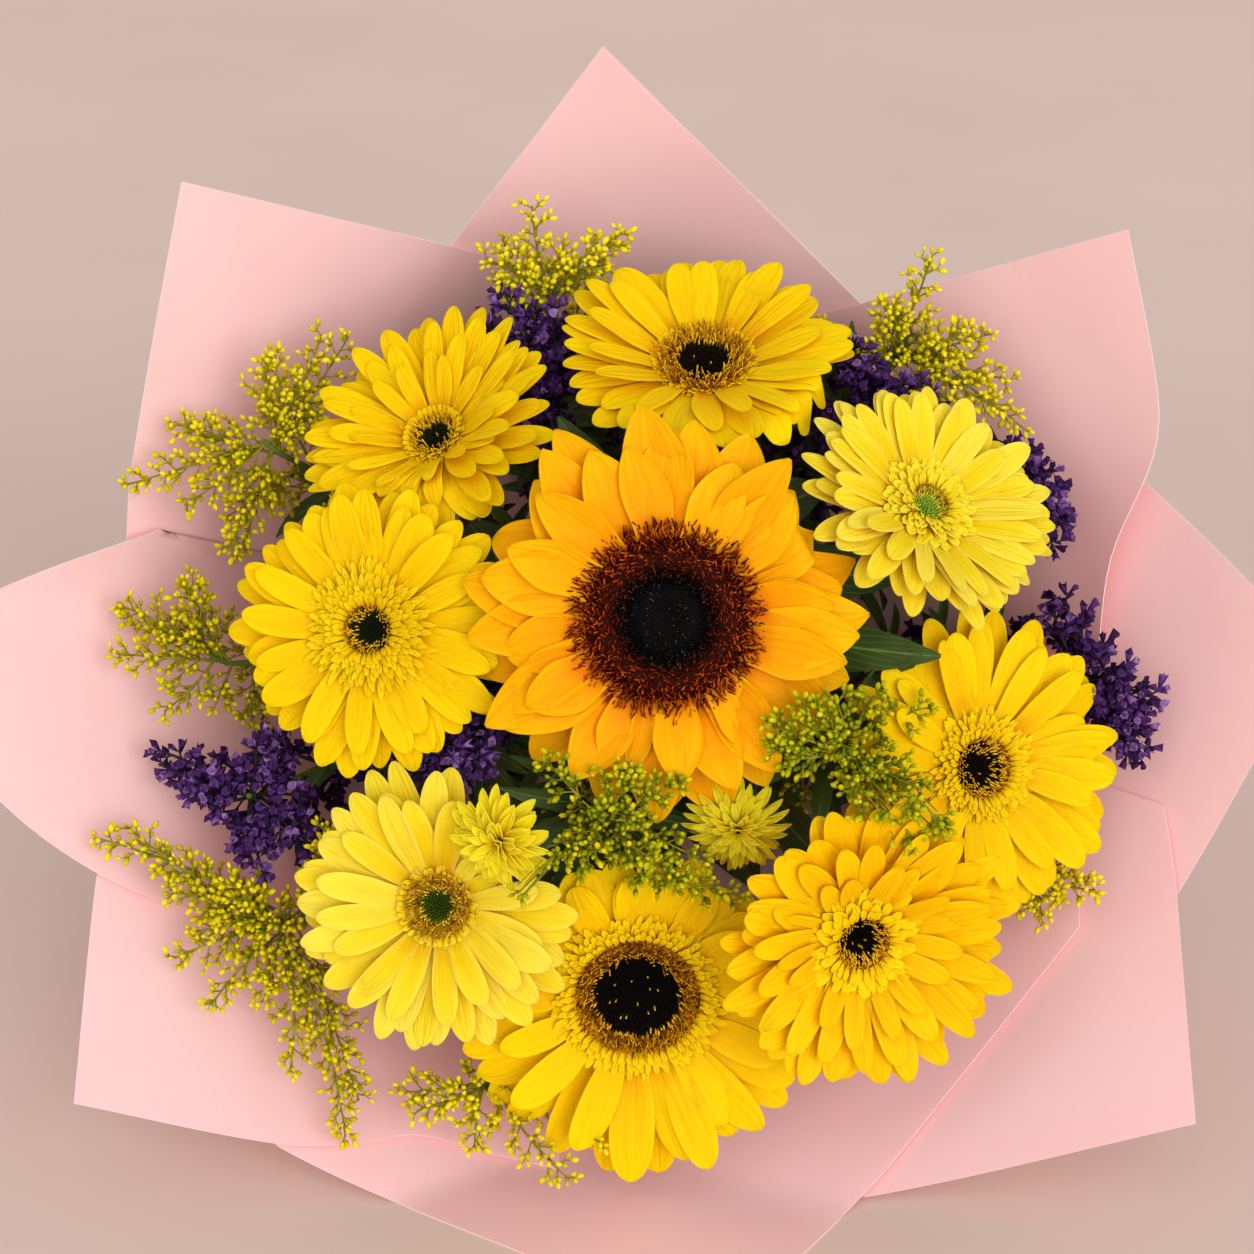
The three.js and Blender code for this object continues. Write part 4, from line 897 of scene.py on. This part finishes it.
# The stem under each bloom: how far below the face it ends, how much of its way it goes straight
# on from the neck, the top, depth and radius of the calyx, and its sepals. The radius and the
# sepals' length are times the size that buildStem is given.
fillerRadius = 1.2
holding = {"outer": 0.14, "inner": 0.6}
outerArrival = 336  # how steeply the stem of an outer spray comes to its crown
stemLooks = {
    "gerbera": {"radius": 2.7, "sides": 4, "under": 17.3, "holding": holding["outer"],
                "calyx": (-3.4, 14, 0.72),
                "sepals": {"count": 22, "from": 0.55, "grid": (4, 6), "length": 0.62,
                           "width": 4.2, "rise": 16, "droop": 6, "tip": 0.3, "cup": 0.3}},
    "mum": {"radius": fillerRadius, "sides": 3, "under": 8.3, "holding": holding["inner"],
            "calyx": (-2.3, 6, 3.4),
            "sepals": {"count": 12, "from": 0.5, "grid": (2, 4), "length": 3.4, "width": 1.8,
                       "rise": 20, "droop": 0, "tip": 0.4, "cup": 0.3}},
    "sunflower": {"radius": 5.4, "sides": 5, "under": 26.3, "holding": holding["outer"],
                  "calyx": (-6.4, 20, 28), "seed": 700,
                  "sepals": {"count": 18, "from": 0.2, "grid": (6, 10), "length": 42, "width": 15,
                             "rise": 2, "droop": -8, "tip": 0.25, "point": 1.0, "cup": 0.2,
                             "ripple": 0.6}},
}

# The sunflower's leaves: the midrib as seen, from the stem out, and half the width. Each starts
# as a bare stalk, and its two sides fold up a little from the midrib.
leafShape = {"grid": (6, 16), "stalk": 0.22, "stalkWidth": 1.1, "least": 0.15, "fold": 0.35,
             "sink": 2, "wave": 0.9, "stemPoint": 10}
leaves = [
    {"line": [(30, 0, -58), (52, -2, -46), (88, -8, -26), (119, -11, -17)], "half": 11},
    {"line": [(10, 16, -60), (2, 40, -52), (-14, 62, -44), (-26, 80, -42)], "half": 9},
    {"line": [(4, -12, -66), (-12, -26, -62), (-34, -36, -58), (-52, -50, -62)], "half": 10},
    {"line": [(18, 18, -68), (36, 34, -64), (56, 46, -60), (76, 52, -62)], "half": 15},
    {"line": [(8, -20, -68), (20, -50, -62), (36, -76, -56), (50, -100, -58)], "half": 15},
    {"line": [(-4, -22, -68), (-12, -50, -62), (-22, -76, -58), (-36, -98, -60)], "half": 14},
    {"line": [(16, 2, -68), (44, -12, -64), (72, -22, -60), (96, -40, -62)], "half": 14},
    {"line": [(-8, 6, -68), (-34, 14, -66), (-52, 30, -68), (-60, 40, -74)], "half": 13},
    {"line": [(14, -18, -70), (34, -46, -64), (54, -68, -60), (76, -90, -62)], "half": 15},
    {"line": [(18, 8, -70), (46, 16, -66), (76, 20, -64), (106, 18, -66)], "half": 14},
]


def slotPoint(angle, radius):
    return turned(math.radians(angle)) * radius


def fillerSlot(angle):
    return slotPoint(angle, bunch["neckRadius"] + bunch["slotGap"] - fillerRadius)


def bezier(a, b, c, d, count):
    points = []
    for k in range(count + 1):
        t = k / count
        s = 1 - t
        points.append(a * s ** 3 + b * 3 * s * s * t + c * 3 * s * t * t + d * t ** 3)
    return points


def stemLine(slot, head, arrival, hold, count=14):  # from its cut end through the neck
    end = slot * (1 + bunch["cutSpread"]) + forward(bunch["cutDepth"])
    back, front = slot + forward(bunch["neckBack"]), slot + forward(bunch["neckFront"])
    reach = (head - front).length
    out, before = front + forward(reach * hold), head - arrival * reach * 0.3
    return [end, back] + bezier(front, out, before, head, count)


def addCalyx(bm, bloom, back, depth, radius, sepals, draw):
    layHub(bm, bloom, [(radius * wide, back - depth * down, 0.3) for wide, down in
                       ((0.14, 1), (0.3, 0.72), (0.62, 0.4), (0.9, 0.14), (1, 0))])
    ring = {**sepals, "height": back - depth * sepals["from"], "root": radius * 0.7,
            "clearance": 9, "stray": 0.3}
    layRings(bm, bloom, [ring], draw)


def layLeaf(bm, leaf, stemPoint, draw):
    points = [stemPoint] + [seen(*point) for point in leaf["line"]]
    for vert in addGrid(bm, *leafShape["grid"], draw.random(), 1):
        x, along = vert.co.x * 2, vert.co.y + 0.5
        place = along * (len(points) - 1)
        k = min(int(place), len(points) - 2)
        a, b = points[k], points[k + 1]
        before = points[max(k - 1, 0)]
        after = points[min(k + 2, len(points) - 1)]
        t = place - k
        centre = (b * 2 * t + a * 2 * (1 - t) + (b - before + a - after) * t * (1 - t)) / 2
        way = (b - a).normalized()
        across = forward(1).cross(way).normalized()
        above = way.cross(across)
        blade = math.sin(math.pi * smooth(leafShape["stalk"], 1.04, along)) ** 0.75
        stalk = leafShape["stalkWidth"] * (1 - smooth(0.2, 0.4, along)) + leafShape["least"]
        half = leaf["half"] * blade + stalk
        wave = leafShape["wave"] * math.sin(along * 16 + leaf["half"]) * abs(x)
        raised = half * leafShape["fold"] * abs(x) - leafShape["sink"] + wave * blade
        vert.co = centre + across * half * x + above * raised


def buildStem(name, look, slot, size=1, leaves=()):
    bloom = blooms[name]
    draw = random.Random(look.get("seed", bloom["seed"] + 500))
    under = bloom["centre"] - bloom["facing"] * look["under"]
    line = stemLine(slot, under, bloom["facing"], look["holding"])
    bm = newMesh()
    addTubes(bm, [[(point, look["radius"]) for point in line]], sides=look["sides"])
    back, depth, radius = look["calyx"]
    sepals = {**look["sepals"], "length": look["sepals"]["length"] * size}
    addCalyx(bm, bloom, back, depth, radius * size, sepals, draw)
    for leaf in leaves:
        layLeaf(bm, leaf, line[leafShape["stemPoint"]], draw)
    finishPiece(bm, name + "Stem", [stemGreen, leafGreen] if leaves else [stemGreen],
                name + "_stem")


for name in gerberaLooks:
    slot = slotPoint(blooms[name]["slot"], bunch["slotRing"])
    buildStem(name, stemLooks["gerbera"], slot, size=blooms[name]["root"])
for name in mumLooks:
    buildStem(name, stemLooks["mum"], fillerSlot(blooms[name]["slot"]))
buildStem("sunflower", stemLooks["sunflower"], Vector((0, 0, 0)), leaves=leaves)
print("stems and leaves made")

# Sprays: the angle of the stem in the neck, the crown where the twigs part, and the tips that
# they reach, each as seen with its depth. One in front lies over the blooms near it, and riper
# buds are lighter. An inner spray's stem goes up the middle of the bunch before it turns out.
goldenrodSprays = {
    "goldenrod_top": {"slot": 114, "crown": (-28, 122, -86), "ripe": 0.22, "seed": 31, "tips": [
        (-36, 160, -62), (-54, 140, -66), (-12, 146, -70), (-2, 150, -76)]},
    "goldenrod_top_right": {
        "slot": 67, "crown": (100, 104, -92), "ripe": 0.18, "seed": 32, "tips": [
            (115, 140, -60), (129, 113, -66), (140, 84, -62), (150, 76, -70), (98, 122, -66)]},
    "goldenrod_left_high": {
        "slot": 150, "crown": (-132, 66, -84), "ripe": 0.12, "seed": 33, "tips": [
            (-137, 104, -66), (-106, 110, -78), (-190, 54, -66), (-172, 78, -70),
            (-150, 28, -72), (-120, 84, -66)]},
    "goldenrod_left": {"slot": 173, "crown": (-150, -14, -84), "seed": 34, "tips": [
        (-168, 18, -60), (-194, -10, -62), (-176, -32, -66), (-192, 8, -66)]},
    "goldenrod_low_left": {"slot": 219, "crown": (-126, -112, -74), "seed": 35, "tips": [
        (-202, -80, -48), (-174, -100, -48), (-172, -126, -52), (-158, -144, -46),
        (-107, -194, -42), (-128, -168, -44), (-114, -76, -34), (-150, -96, -40)]},
    "goldenrod_bottom": {"slot": 254, "crown": (-52, -168, -62), "ripe": 0.08, "seed": 36, "tips": [
        (-58, -198, -38), (-22, -210, -32), (-80, -184, -40)]},
    "goldenrod_middle": {
        "slot": 279, "crown": (-8, -72, -24), "inner": True, "front": True, "seed": 37,
        "style": {"reach": 11, "budEvery": 2.0},
        "tips": [(-30, -50, -2), (-12, -86, 14), (10, -88, 16), (20, -58, 6), (-26, -88, 12)],
        "more": [(20, -94, -2), (44, -101, -6), (0, -54, 6), (30, -90, 4)]},
    "goldenrod_right": {
        "slot": 326, "crown": (82, -44, -24), "inner": True, "front": True, "seed": 38,
        "style": {"reach": 11, "budEvery": 2.0},
        "tips": [(66, -28, 2), (94, -26, 2), (112, -62, 6), (118, -74, 12), (84, -66, 22),
                 (60, -50, 8)],
        "more": [(56, -34, 6), (104, -66, 16)]},
    "goldenrod_low_right": {
        "slot": 348, "crown": (152, -92, -82), "ripe": 0.2, "seed": 39, "tips": [
            (178, -100, -60), (158, -110, -60), (170, -88, -66)]},
}
staticeSprays = {
    "statice_top": {"slot": 102, "crown": (-30, 84, -84), "inner": True, "seed": 41, "tips": [
        (-28, 120, -64), (-47, 128, -68), (-38, 96, -62), (-19, 104, -62), (-53, 112, -70),
        (-40, 66, -58)]},
    "statice_top_right": {"slot": 55, "crown": (86, 86, -84), "inner": True, "seed": 42, "tips": [
        (104, 92, -60), (88, 104, -66), (68, 72, -56), (118, 86, -66)]},
    "statice_right_high": {"slot": 14, "crown": (152, 48, -84), "seed": 43, "tips": [
        (160, 58, -62), (166, 38, -62), (150, 66, -72)]},
    "statice_right": {"slot": 0, "crown": (174, -18, -84), "seed": 44, "tips": [
        (196, -38, -62), (203, -28, -62), (188, -18, -60), (162, 6, -66), (196, -50, -62)]},
    "statice_left": {"slot": 201, "crown": (-140, -64, -72), "seed": 45, "tips": [
        (-178, -52, -68), (-162, -60, -48), (-140, -40, -48), (-122, -76, -46), (-138, -94, -50)]},
    "statice_middle": {"slot": 188, "crown": (-66, -42, -54), "inner": True, "seed": 46, "tips": [
        (-90, -56, -30), (-68, -46, -24), (-46, -36, -26), (-54, -56, -22), (-82, -38, -34)]},
}
# How they grow: the branches to each tip and how far they spread, the millimetres between twigs
# and between buds, the radii of branch and twig, and the shoots and narrow leaves on the stem.
goldenrodStyle = {"clump": 2, "spread": 20, "every": 3.6, "reach": 13, "branch": 0.66,
                  "twig": 0.36, "stalk": 1.8, "budEvery": 2.2, "budSize": 1.08, "budLength": 1.75,
                  "budLight": 0.14, "shoots": 7, "shootLength": 34, "lances": 40,
                  "lanceLength": 40, "lanceWidth": 8}
staticeStyle = {"clump": 3, "spread": 12, "every": 4.8, "reach": 11, "branch": 0.95,
                "twig": 0.5, "stalk": 1.1, "budEvery": 1.7, "budSize": 0.95, "budLength": 1.0,
                "budLight": 0.06, "shoots": 6, "shootLength": 28, "lances": 30,
                "lanceLength": 36, "lanceWidth": 8}
innerLances = {"count": 90, "from": 0.6, "to": 0.97}
outerLances = {"from": 0.5, "to": 0.86}
branchSteps, twigSteps = 10, 5
twigRoom = {"beside": 4, "front": 13, "back": 7, "under": 10, "over": 12, "paper": 4}

# The paper's inner face: its radius and depth, from the neck to its far edge.
flare = [(14.8, -318), (14.8, -296), (165, -122), (215, -70), (250, -38), (300, -2), (345, 24)]
flareEnd = len(flare) - 1.001
flareStep = 0.05  # rows to each side that give the paper's slope


def flareAt(row):  # a smooth curve through the flare's radii and depths
    k = min(int(row), len(flare) - 2)
    t = row - k
    a, b = Vector(flare[k]), Vector(flare[k + 1])
    if k < 1:
        return a.lerp(b, t)
    before = Vector(flare[k - 1]) if k > 1 else a - (b - a)
    after = Vector(flare[min(k + 2, len(flare) - 1)])
    return (a * 2 + (b - before) * t + (before * 2 - a * 5 + b * 4 - after) * t * t
            + (a * 3 - before - b * 3 + after) * t ** 3) / 2


def rowBefore(short, halvings):  # the last row of which the test is still true
    low, high = 0.0, flareEnd
    for _ in range(halvings):
        middle = (low + high) / 2
        if short(*flareAt(middle)):
            low = middle
        else:
            high = middle
    return low


def paperRadius(at):
    return flareAt(rowBefore(lambda radius, depth: depth < at, 14)).x


def besideBlooms(point, toFront):  # keeps twigs out of the petals and inside the paper
    moved = point.copy()
    for bloom in blooms.values():
        local = bloom["inverse"] @ moved
        distance = math.hypot(local.x, local.y)
        if distance > bloom["reach"] + twigRoom["beside"]:
            continue
        over = local.z - petalHeight(bloom, distance)
        if toFront and -twigRoom["under"] < over < twigRoom["front"]:
            moved += bloom["facing"] * (twigRoom["front"] - over)
        elif not toFront and -twigRoom["back"] < over < twigRoom["over"]:
            moved += bloom["facing"] * (-twigRoom["back"] - over)
    room = paperRadius(moved.z) - twigRoom["paper"]
    out = math.hypot(moved.x, moved.y)
    if out > room:
        moved = Vector((moved.x * room / out, moved.y * room / out, moved.z))
    return moved


def bowed(start, end, bow, count):
    middle = (start + end) / 2 + bow
    return [start.lerp(middle, t).lerp(middle.lerp(end, t), t)
            for t in (k / count for k in range(count + 1))]


def tapered(line, thick, thin):  # a tube's path, from its thick end to its thin one
    return [(point, mix(thick, thin, k / (len(line) - 1))) for k, point in enumerate(line)]


def randomWay(draw):
    return Vector((draw.gauss(0, 1), draw.gauss(0, 1), draw.gauss(0, 1))).normalized()


def sprayLine(spray, crown, lead):  # its stem, which ends a little past the crown
    slot = fillerSlot(spray["slot"])
    start = slot + forward(bunch["neckFront"])
    inner = spray.get("inner")
    arrival = crown - start if inner else Vector((crown.x, crown.y, outerArrival))
    hold = holding["inner"] if inner else holding["outer"]
    return stemLine(slot, crown, arrival.normalized(), hold, 12) + [crown + lead * 10]


def branchWays(spray, style, crown, tips, lead, line, draw):  # where each branch starts and ends
    goals = [(tip, 1.0) for tip in tips + [seen(*tip) for tip in spray.get("more", [])]]
    for _ in range(style["clump"] - 1):
        for tip in tips:
            aside = Vector([draw.uniform(-1, 1) * style["spread"] for _ in range(2)] + [-4])
            goals.append((tip + aside, draw.uniform(0.65, 0.95)))
    ways = []
    for number, (goal, share) in enumerate(goals):
        root = crown + lead * (number % 3) * 4
        ways.append((root, root.lerp(goal, share)))
    for number in range(style["shoots"]):  # small ones below the crown
        at = mix(0.72, 0.98, number / style["shoots"]) * (len(line) - 2)
        root, way = pointOn(line, at)
        out = outFrom(way, number * twigTurn + spray["seed"])
        ways.append((root, root + (out + way * 0.8) * style["shootLength"] * draw.uniform(0.6, 1)))
    return ways


def growTwig(base, way, side, share, number, spray, style, draw):  # its tubes and its buds
    front = spray.get("front", False)
    out = (side * draw.uniform(0.7, 1.1) + way * draw.uniform(0.5, 1.0)).normalized()
    reach = style["reach"] * mix(1.0, 0.3, share ** 2) * draw.uniform(0.6, 1.2)
    bow = (forward(1) + way * 0.5) * reach * draw.uniform(0.0, 0.25)
    twig = [besideBlooms(point, front)
            for point in bowed(base, base + out * reach, bow, twigSteps)]
    thin = style["twig"] * 0.6
    tubes, buds = [tapered(twig, style["twig"], thin)], []
    count = max(3, round(reach / style["budEvery"]))
    for j in range(count):
        t = mix(0.25, 1.0, (j + 0.5) / count) * twigSteps
        foot, along = pointOn(twig, t)
        aside = outFrom(along, j * twigTurn + number)
        aim = (aside * 0.8 + along * 1.1 + forward(0.3)).normalized()
        stalk = style["stalk"] * draw.uniform(0.6, 1.3)
        head = foot + aim * stalk
        tubes.append([(foot, thin), (head, style["twig"] * 0.5)])
        # Buds grow lighter toward the ends of branch and twig and with the spray's ripeness. Deeper
        # in the bunch they are painted darker, as painted shade, while a front spray's buds all get
        # the same share of this painted light.
        light = 0.7 if front else smooth(-95, -45, head.z)
        tone = (0.5 * math.sqrt(share) * t / twigSteps + 0.2 * light
                + spray.get("ripe", 0) + draw.uniform(-0.12, 0.14))
        size, spin = style["budSize"] * draw.uniform(0.75, 1.2), draw.uniform(0, 6)
        buds.append((aimed(head, aim, size, spin, style["budLength"]), tone))
    return tubes, buds


def layLance(bm, base, way, out, style, draw):  # a narrow leaf of a spray
    length = style["lanceLength"] * draw.uniform(0.6, 1.15)
    across = out.cross(way).normalized()
    sag = draw.uniform(0.1, 0.35)
    for vert in addGrid(bm, 2, 8, draw.random(), 2):
        x, along = vert.co.x * 2, vert.co.y + 0.5
        half = style["lanceWidth"] / 2 * math.sin(math.pi * min(0.98, 0.06 + along * 0.94)) ** 0.8
        spot = (base + (out * along + way * (0.75 * along - sag * along * along)) * length
                + across * half * x + way * half * 0.35 * abs(x))
        vert.co = besideBlooms(spot, False)


def growSpray(spray, style, shapes):
    draw = random.Random(spray["seed"])
    style = {**style, **spray.get("style", {})}
    front = spray.get("front", False)
    crown = seen(*spray["crown"])
    tips = [seen(*tip) for tip in spray["tips"]]
    lead = (sum(tips, Vector()) / len(tips) - crown).normalized()
    line = sprayLine(spray, crown, lead)
    tubes, buds = [], []
    for root, tip in branchWays(spray, style, crown, tips, lead, line, draw):
        length = (tip - root).length
        bow = (randomWay(draw) + forward(0.6)) * length * 0.12
        branch = bowed(root, tip, bow, branchSteps)
        branch[3:] = [besideBlooms(point, front) for point in branch[3:]]
        tubes.append(tapered(branch, style["branch"], style["twig"]))
        count = max(5, round(length / style["every"] * 1.25))
        spin = draw.uniform(0, 6)
        for k in range(count):
            share = mix(0.1, 1.0, (k + 0.5) / count)
            base, way = pointOn(branch, share * branchSteps)
            side = outFrom(way, spin + k * twigTurn)
            twigTubes, twigBuds = growTwig(base, way, side, share, k, spray, style, draw)
            tubes += twigTubes
            buds += twigBuds
    bm = newMesh()
    span = innerLances if spray.get("inner") else outerLances
    for k in range(span.get("count", style["lances"])):
        base, way = pointOn(line, draw.uniform(span["from"], span["to"]) * (len(line) - 2))
        layLance(bm, base, way, outFrom(way, k * twigTurn), style, draw)
    for k, shape in enumerate(shapes):
        addCopies(bm, shape, buds[k::len(shapes)], gain=style["budLight"])
    addTubes(bm, tubes, sides=0, materialIndex=1)
    addTubes(bm, [[(point, fillerRadius) for point in line]], sides=2, materialIndex=3)
    return bm


bud = bmesh.new()
bmesh.ops.create_icosphere(bud, subdivisions=1, radius=1)
bmesh.ops.translate(bud, vec=(0, 0, 0.7), verts=bud.verts)
budShape = keepShape(bud, "bud")

calyxShapes = []
for seed in (1, 2, 3):  # small crumpled funnels
    draw = random.Random(seed)
    calyx = bmesh.new()
    bmesh.ops.create_cone(calyx, cap_ends=True, segments=6, radius1=0.5, radius2=1.8, depth=4.6)
    bmesh.ops.translate(calyx, vec=(0, 0, 2.3), verts=calyx.verts)
    top = [face for face in calyx.faces if all(vert.co.z > 4 for vert in face.verts)]
    for vert in top[0].verts:
        vert.co *= draw.uniform(0.82, 1.18)
        vert.co.z += draw.uniform(-0.9, 0.9)
    for vert in bmesh.ops.poke(calyx, faces=top)["verts"]:
        vert.co.z -= 2.4
    calyxShapes.append(keepShape(calyx, "calyx"))

for name, spray in goldenrodSprays.items():
    buds = toneMaterials["goldenrodGreenBud" if spray.get("front") else "goldenrodBud"]
    finishPiece(growSpray(spray, goldenrodStyle, [budShape]), name + "Spray",
                [buds, twigGreen, leafGreen, stemGreen], name)
for name, spray in staticeSprays.items():
    finishPiece(growSpray(spray, staticeStyle, calyxShapes), name + "Spray",
                [toneMaterials["staticeCalyx"], staticeTwig, leafGreen, stemGreen], name)
print("sprays made")

# Each sheet: its layer from the inside out, and the edge that shows, as seen. Its waves are a
# height, how many there are to the round, and where they start. The last part of a curled edge
# rolls toward the viewer: from which share of it on, and how far.
paperLook = {
    "thickness": 0.3,
    "pitch": 0.9,
    "fan": 0.011,
    "rows": 26,
    "stopEvery": 7,
    "softCorner": 36,
    "cadSkin": 0.6,
    "offTable": 0.1,
    "waves": [(5, 5, 0.8), (3, 9, 2)],
    "waveDrop": 3,
    "waveFrom": (150, 280),
    "curlFrom": (185, 225),
    # Between these radii the paper's painted glow grows in, painted light near its rim.
    "paintedGlowFrom": (125, 215),
}
sheets = {
    "paper_left": {"layer": 0, "curl": (0.68, 18), "edge": [
        (-149, -113), (-196, -96), (-238, -66), (-285, -8), (-232, 17), (-177, 37), (-150, 24)]},
    "paper_upper_left": {"layer": 1, "edge": [
        (-190, -6), (-188, 39), (-187, 56), (-168, 168), (-50, 139), (-26, 132)]},
    "paper_lower_left": {"layer": 1, "lift": 1.1, "edge": [
        (-26, -204), (-52, -198), (-79, -191), (-98, -194), (-130, -195), (-209, -180),
        (-200, -96), (-195, -76)]},
    "paper_upper_right": {"layer": 1, "curl": (0.6, 26), "edge": [
        (62, 115), (90, 122), (189, 150), (200, 86), (198, 64), (182, 26), (177, -9)]},
    "paper_top": {"layer": 2, "edge": [(-88, 112), (-9, 217), (115, 92)]},
    "paper_bottom": {"layer": 2, "edge": [
        (169, -97), (169, -112), (123, -170), (89, -212), (34, -266), (-29, -239), (-130, -195),
        (-150, -172)]},
    "paper_lower_right": {"layer": 3, "edge": [
        (199, -66), (201, -77), (204, -96), (213, -186), (89, -212), (78, -208)]},
    "paper_right": {"layer": 4, "edge": [
        (172, 66), (193, 51), (256, -8), (205, -96), (188, -118)]},
}
floorHeight = -shift.z / millimetre  # the table's height over the bunch's zero


def heightOf(point):
    return point.y * lean + point.z * rise


def rowAt(seenRadius):
    return rowBefore(
        lambda radius, depth: radius / (1 - depth / bunch["viewDistance"]) < seenRadius, 30)


def edgeStops(points):  # along the sheet's edge: sharp corners are kept, slight ones rounded
    slopes = []
    for k, point in enumerate(points):
        before = point - points[k - 1] if k else None
        after = points[k + 1] - point if k < len(points) - 1 else None
        soft = k and after and before.angle(after) < math.radians(paperLook["softCorner"])
        slopes.append((((before + after) / 2,) * 2) if soft else (before, after))
    stops = []
    for k, (a, b) in enumerate(zip(points, points[1:])):
        span = (b - a).length
        steps = max(2, round(span / paperLook["stopEvery"]))
        leave = slopes[k][1].normalized() * span
        arrive = slopes[k + 1][0].normalized() * span
        for step in range(steps):
            t = step / steps
            stops.append(a * (2 * t ** 3 - 3 * t * t + 1) + leave * (t ** 3 - 2 * t * t + t)
                         + b * (3 * t * t - 2 * t ** 3) + arrive * (t ** 3 - t * t))
    return stops + [points[-1]]


def sheetPoint(sheet, u, v, share, around):  # share: from the neck to the edge
    row = share * rowAt(math.hypot(u, v))
    radius, depth = flareAt(row)
    ahead = flareAt(min(row + flareStep, flareEnd)) - flareAt(max(row - flareStep, 0))
    normal = Vector((abs(ahead.y), -abs(ahead.x))).normalized()
    out = paperLook["pitch"] * sheet["layer"] + paperLook["cadSkin"] / 2
    away = out * (1 + paperLook["fan"] * max(0, radius - bunch["neckRadius"]))
    radius, depth = radius + normal.x * away, depth + normal.y * away
    point = Vector((u, v, 0)).normalized() * radius + forward(depth)
    # Soft bends along the line of sight, the same for every layer.
    angle = math.atan2(v, u)
    wave = sum(high * math.sin(angle * count + start) for high, count, start in paperLook["waves"])
    bend = smooth(*paperLook["waveFrom"], radius) * (wave - paperLook["waveDrop"])
    if "curl" in sheet:
        start, rolled = sheet["curl"]
        bend += rolled * smooth(start, 1, around) * smooth(*paperLook["curlFrom"], radius)
    point += (viewPoint - point).normalized() * bend
    table = floorHeight + sheet.get("lift", 0) + paperLook["thickness"] / 2 + paperLook["offTable"]
    height = heightOf(point)
    if height < table:
        point = point.lerp(viewPoint, (table - height) / (heightOf(viewPoint) - height))
    # The tone returned here sets the strength of the paper's painted glow.
    return point, smooth(*paperLook["paintedGlowFrom"], radius)


def buildSheet(name, sheet):
    stops = edgeStops([Vector(point) for point in sheet["edge"]])
    columns = len(stops) - 1
    bm = newMesh()
    for vert in addGrid(bm, columns, paperLook["rows"], 0):
        around = vert.co.x + 0.5
        u, v = stops[round(around * columns)]
        vert.co, tone = sheetPoint(sheet, u, v, vert.co.y + 0.5, around)
        paint(bm, [vert], tone)
    finishPiece(bm, name + "Sheet", [paperPink, paperEdge], name,
                thickness=paperLook["thickness"], edgeSlot=1)


for name, sheet in sheets.items():
    buildSheet(name, sheet)
print("paper made")

twineLook = {"turns": 3, "strands": 3, "strandRadius": 0.62, "swing": 0.62, "half": 1.5,
             "pitch": 2.3, "twist": 34, "inner": 18.6, "points": 360}


def buildTwine(look):
    paths = []
    for strand in range(look["strands"]):
        path = []
        for k in range(look["points"] + 1):
            share = k / look["points"]
            angle = share * math.tau * look["turns"]
            level = tieMiddle.z + (share - 0.5) * look["pitch"] * look["turns"]
            phase = angle * look["twist"] + strand * math.tau / look["strands"]
            radius = look["inner"] + look["half"] + look["swing"] * math.cos(phase)
            spot = turned(angle) * radius + forward(level + look["swing"] * math.sin(phase))
            path.append((spot, look["strandRadius"]))
        paths.append(path)
    bm = newMesh()
    addTubes(bm, paths)
    finishPiece(bm, "tieTwine", [twineFibre], "tie")


buildTwine(twineLook)
print("twine made")

stage = {
    "floorSize": 20,
    "air": (1, 0.97, 0.95, 1),
    "airPower": 0.56,
    "lens": 84.6,
    "sensor": 36,
    "middle": (0, 0, -40),  # where the lights point, in the bunch's frame
    "lights": {  # where each stands, how wide it looks, its power and its colour
        "key": {"at": (500, -130, 1000), "angle": 0.8, "power": 1.78, "colour": (1, 0.98, 0.95)},
        "fill": {"at": (-240, 220, 1000), "angle": 1.1, "power": 0.8, "colour": (1, 0.98, 0.96)},
    },
}


def floorMaterial(name, dark, light):
    material, start = startMaterial(name, Roughness=0.6, Specular_IOR_Level=0.3)
    return feed(material, Base_Color=placeOf(start).noise(3, 5).blend(rgba(*dark), rgba(*light)))


bm = bmesh.new()
bmesh.ops.create_grid(bm, x_segments=1, y_segments=1, size=stage["floorSize"])
floor = setUp("floor", keepShape(bm, "floor"))
floor.data.materials.append(floorMaterial("paleFloor", (216, 190, 180), (230, 206, 196)))

world = bpy.data.worlds.new("studio")
world.use_nodes = True
air = world.node_tree.nodes["Background"].inputs
air["Color"].default_value = stage["air"]
air["Strength"].default_value = stage["airPower"]
bpy.context.scene.world = world

for name, light in stage["lights"].items():
    data = bpy.data.lights.new(name, "SUN")
    data.angle = light["angle"]
    data.energy = light["power"]
    data.color = light["colour"]
    lamp = setUp(name, data)
    lamp.location = toWorld @ Vector(light["at"])
    aim = lamp.location - toWorld @ Vector(stage["middle"])
    lamp.rotation_euler = aim.to_track_quat("Z", "Y").to_euler()

lens = bpy.data.cameras.new("camera")
lens.lens = stage["lens"]
lens.sensor_width = stage["sensor"]
camera = setUp("camera", lens)
camera.matrix_world = Matrix.Translation(toWorld @ viewPoint) @ turnDown
bpy.context.scene.camera = camera
bpy.context.scene.view_settings.view_transform = "Standard"
print("stage made")
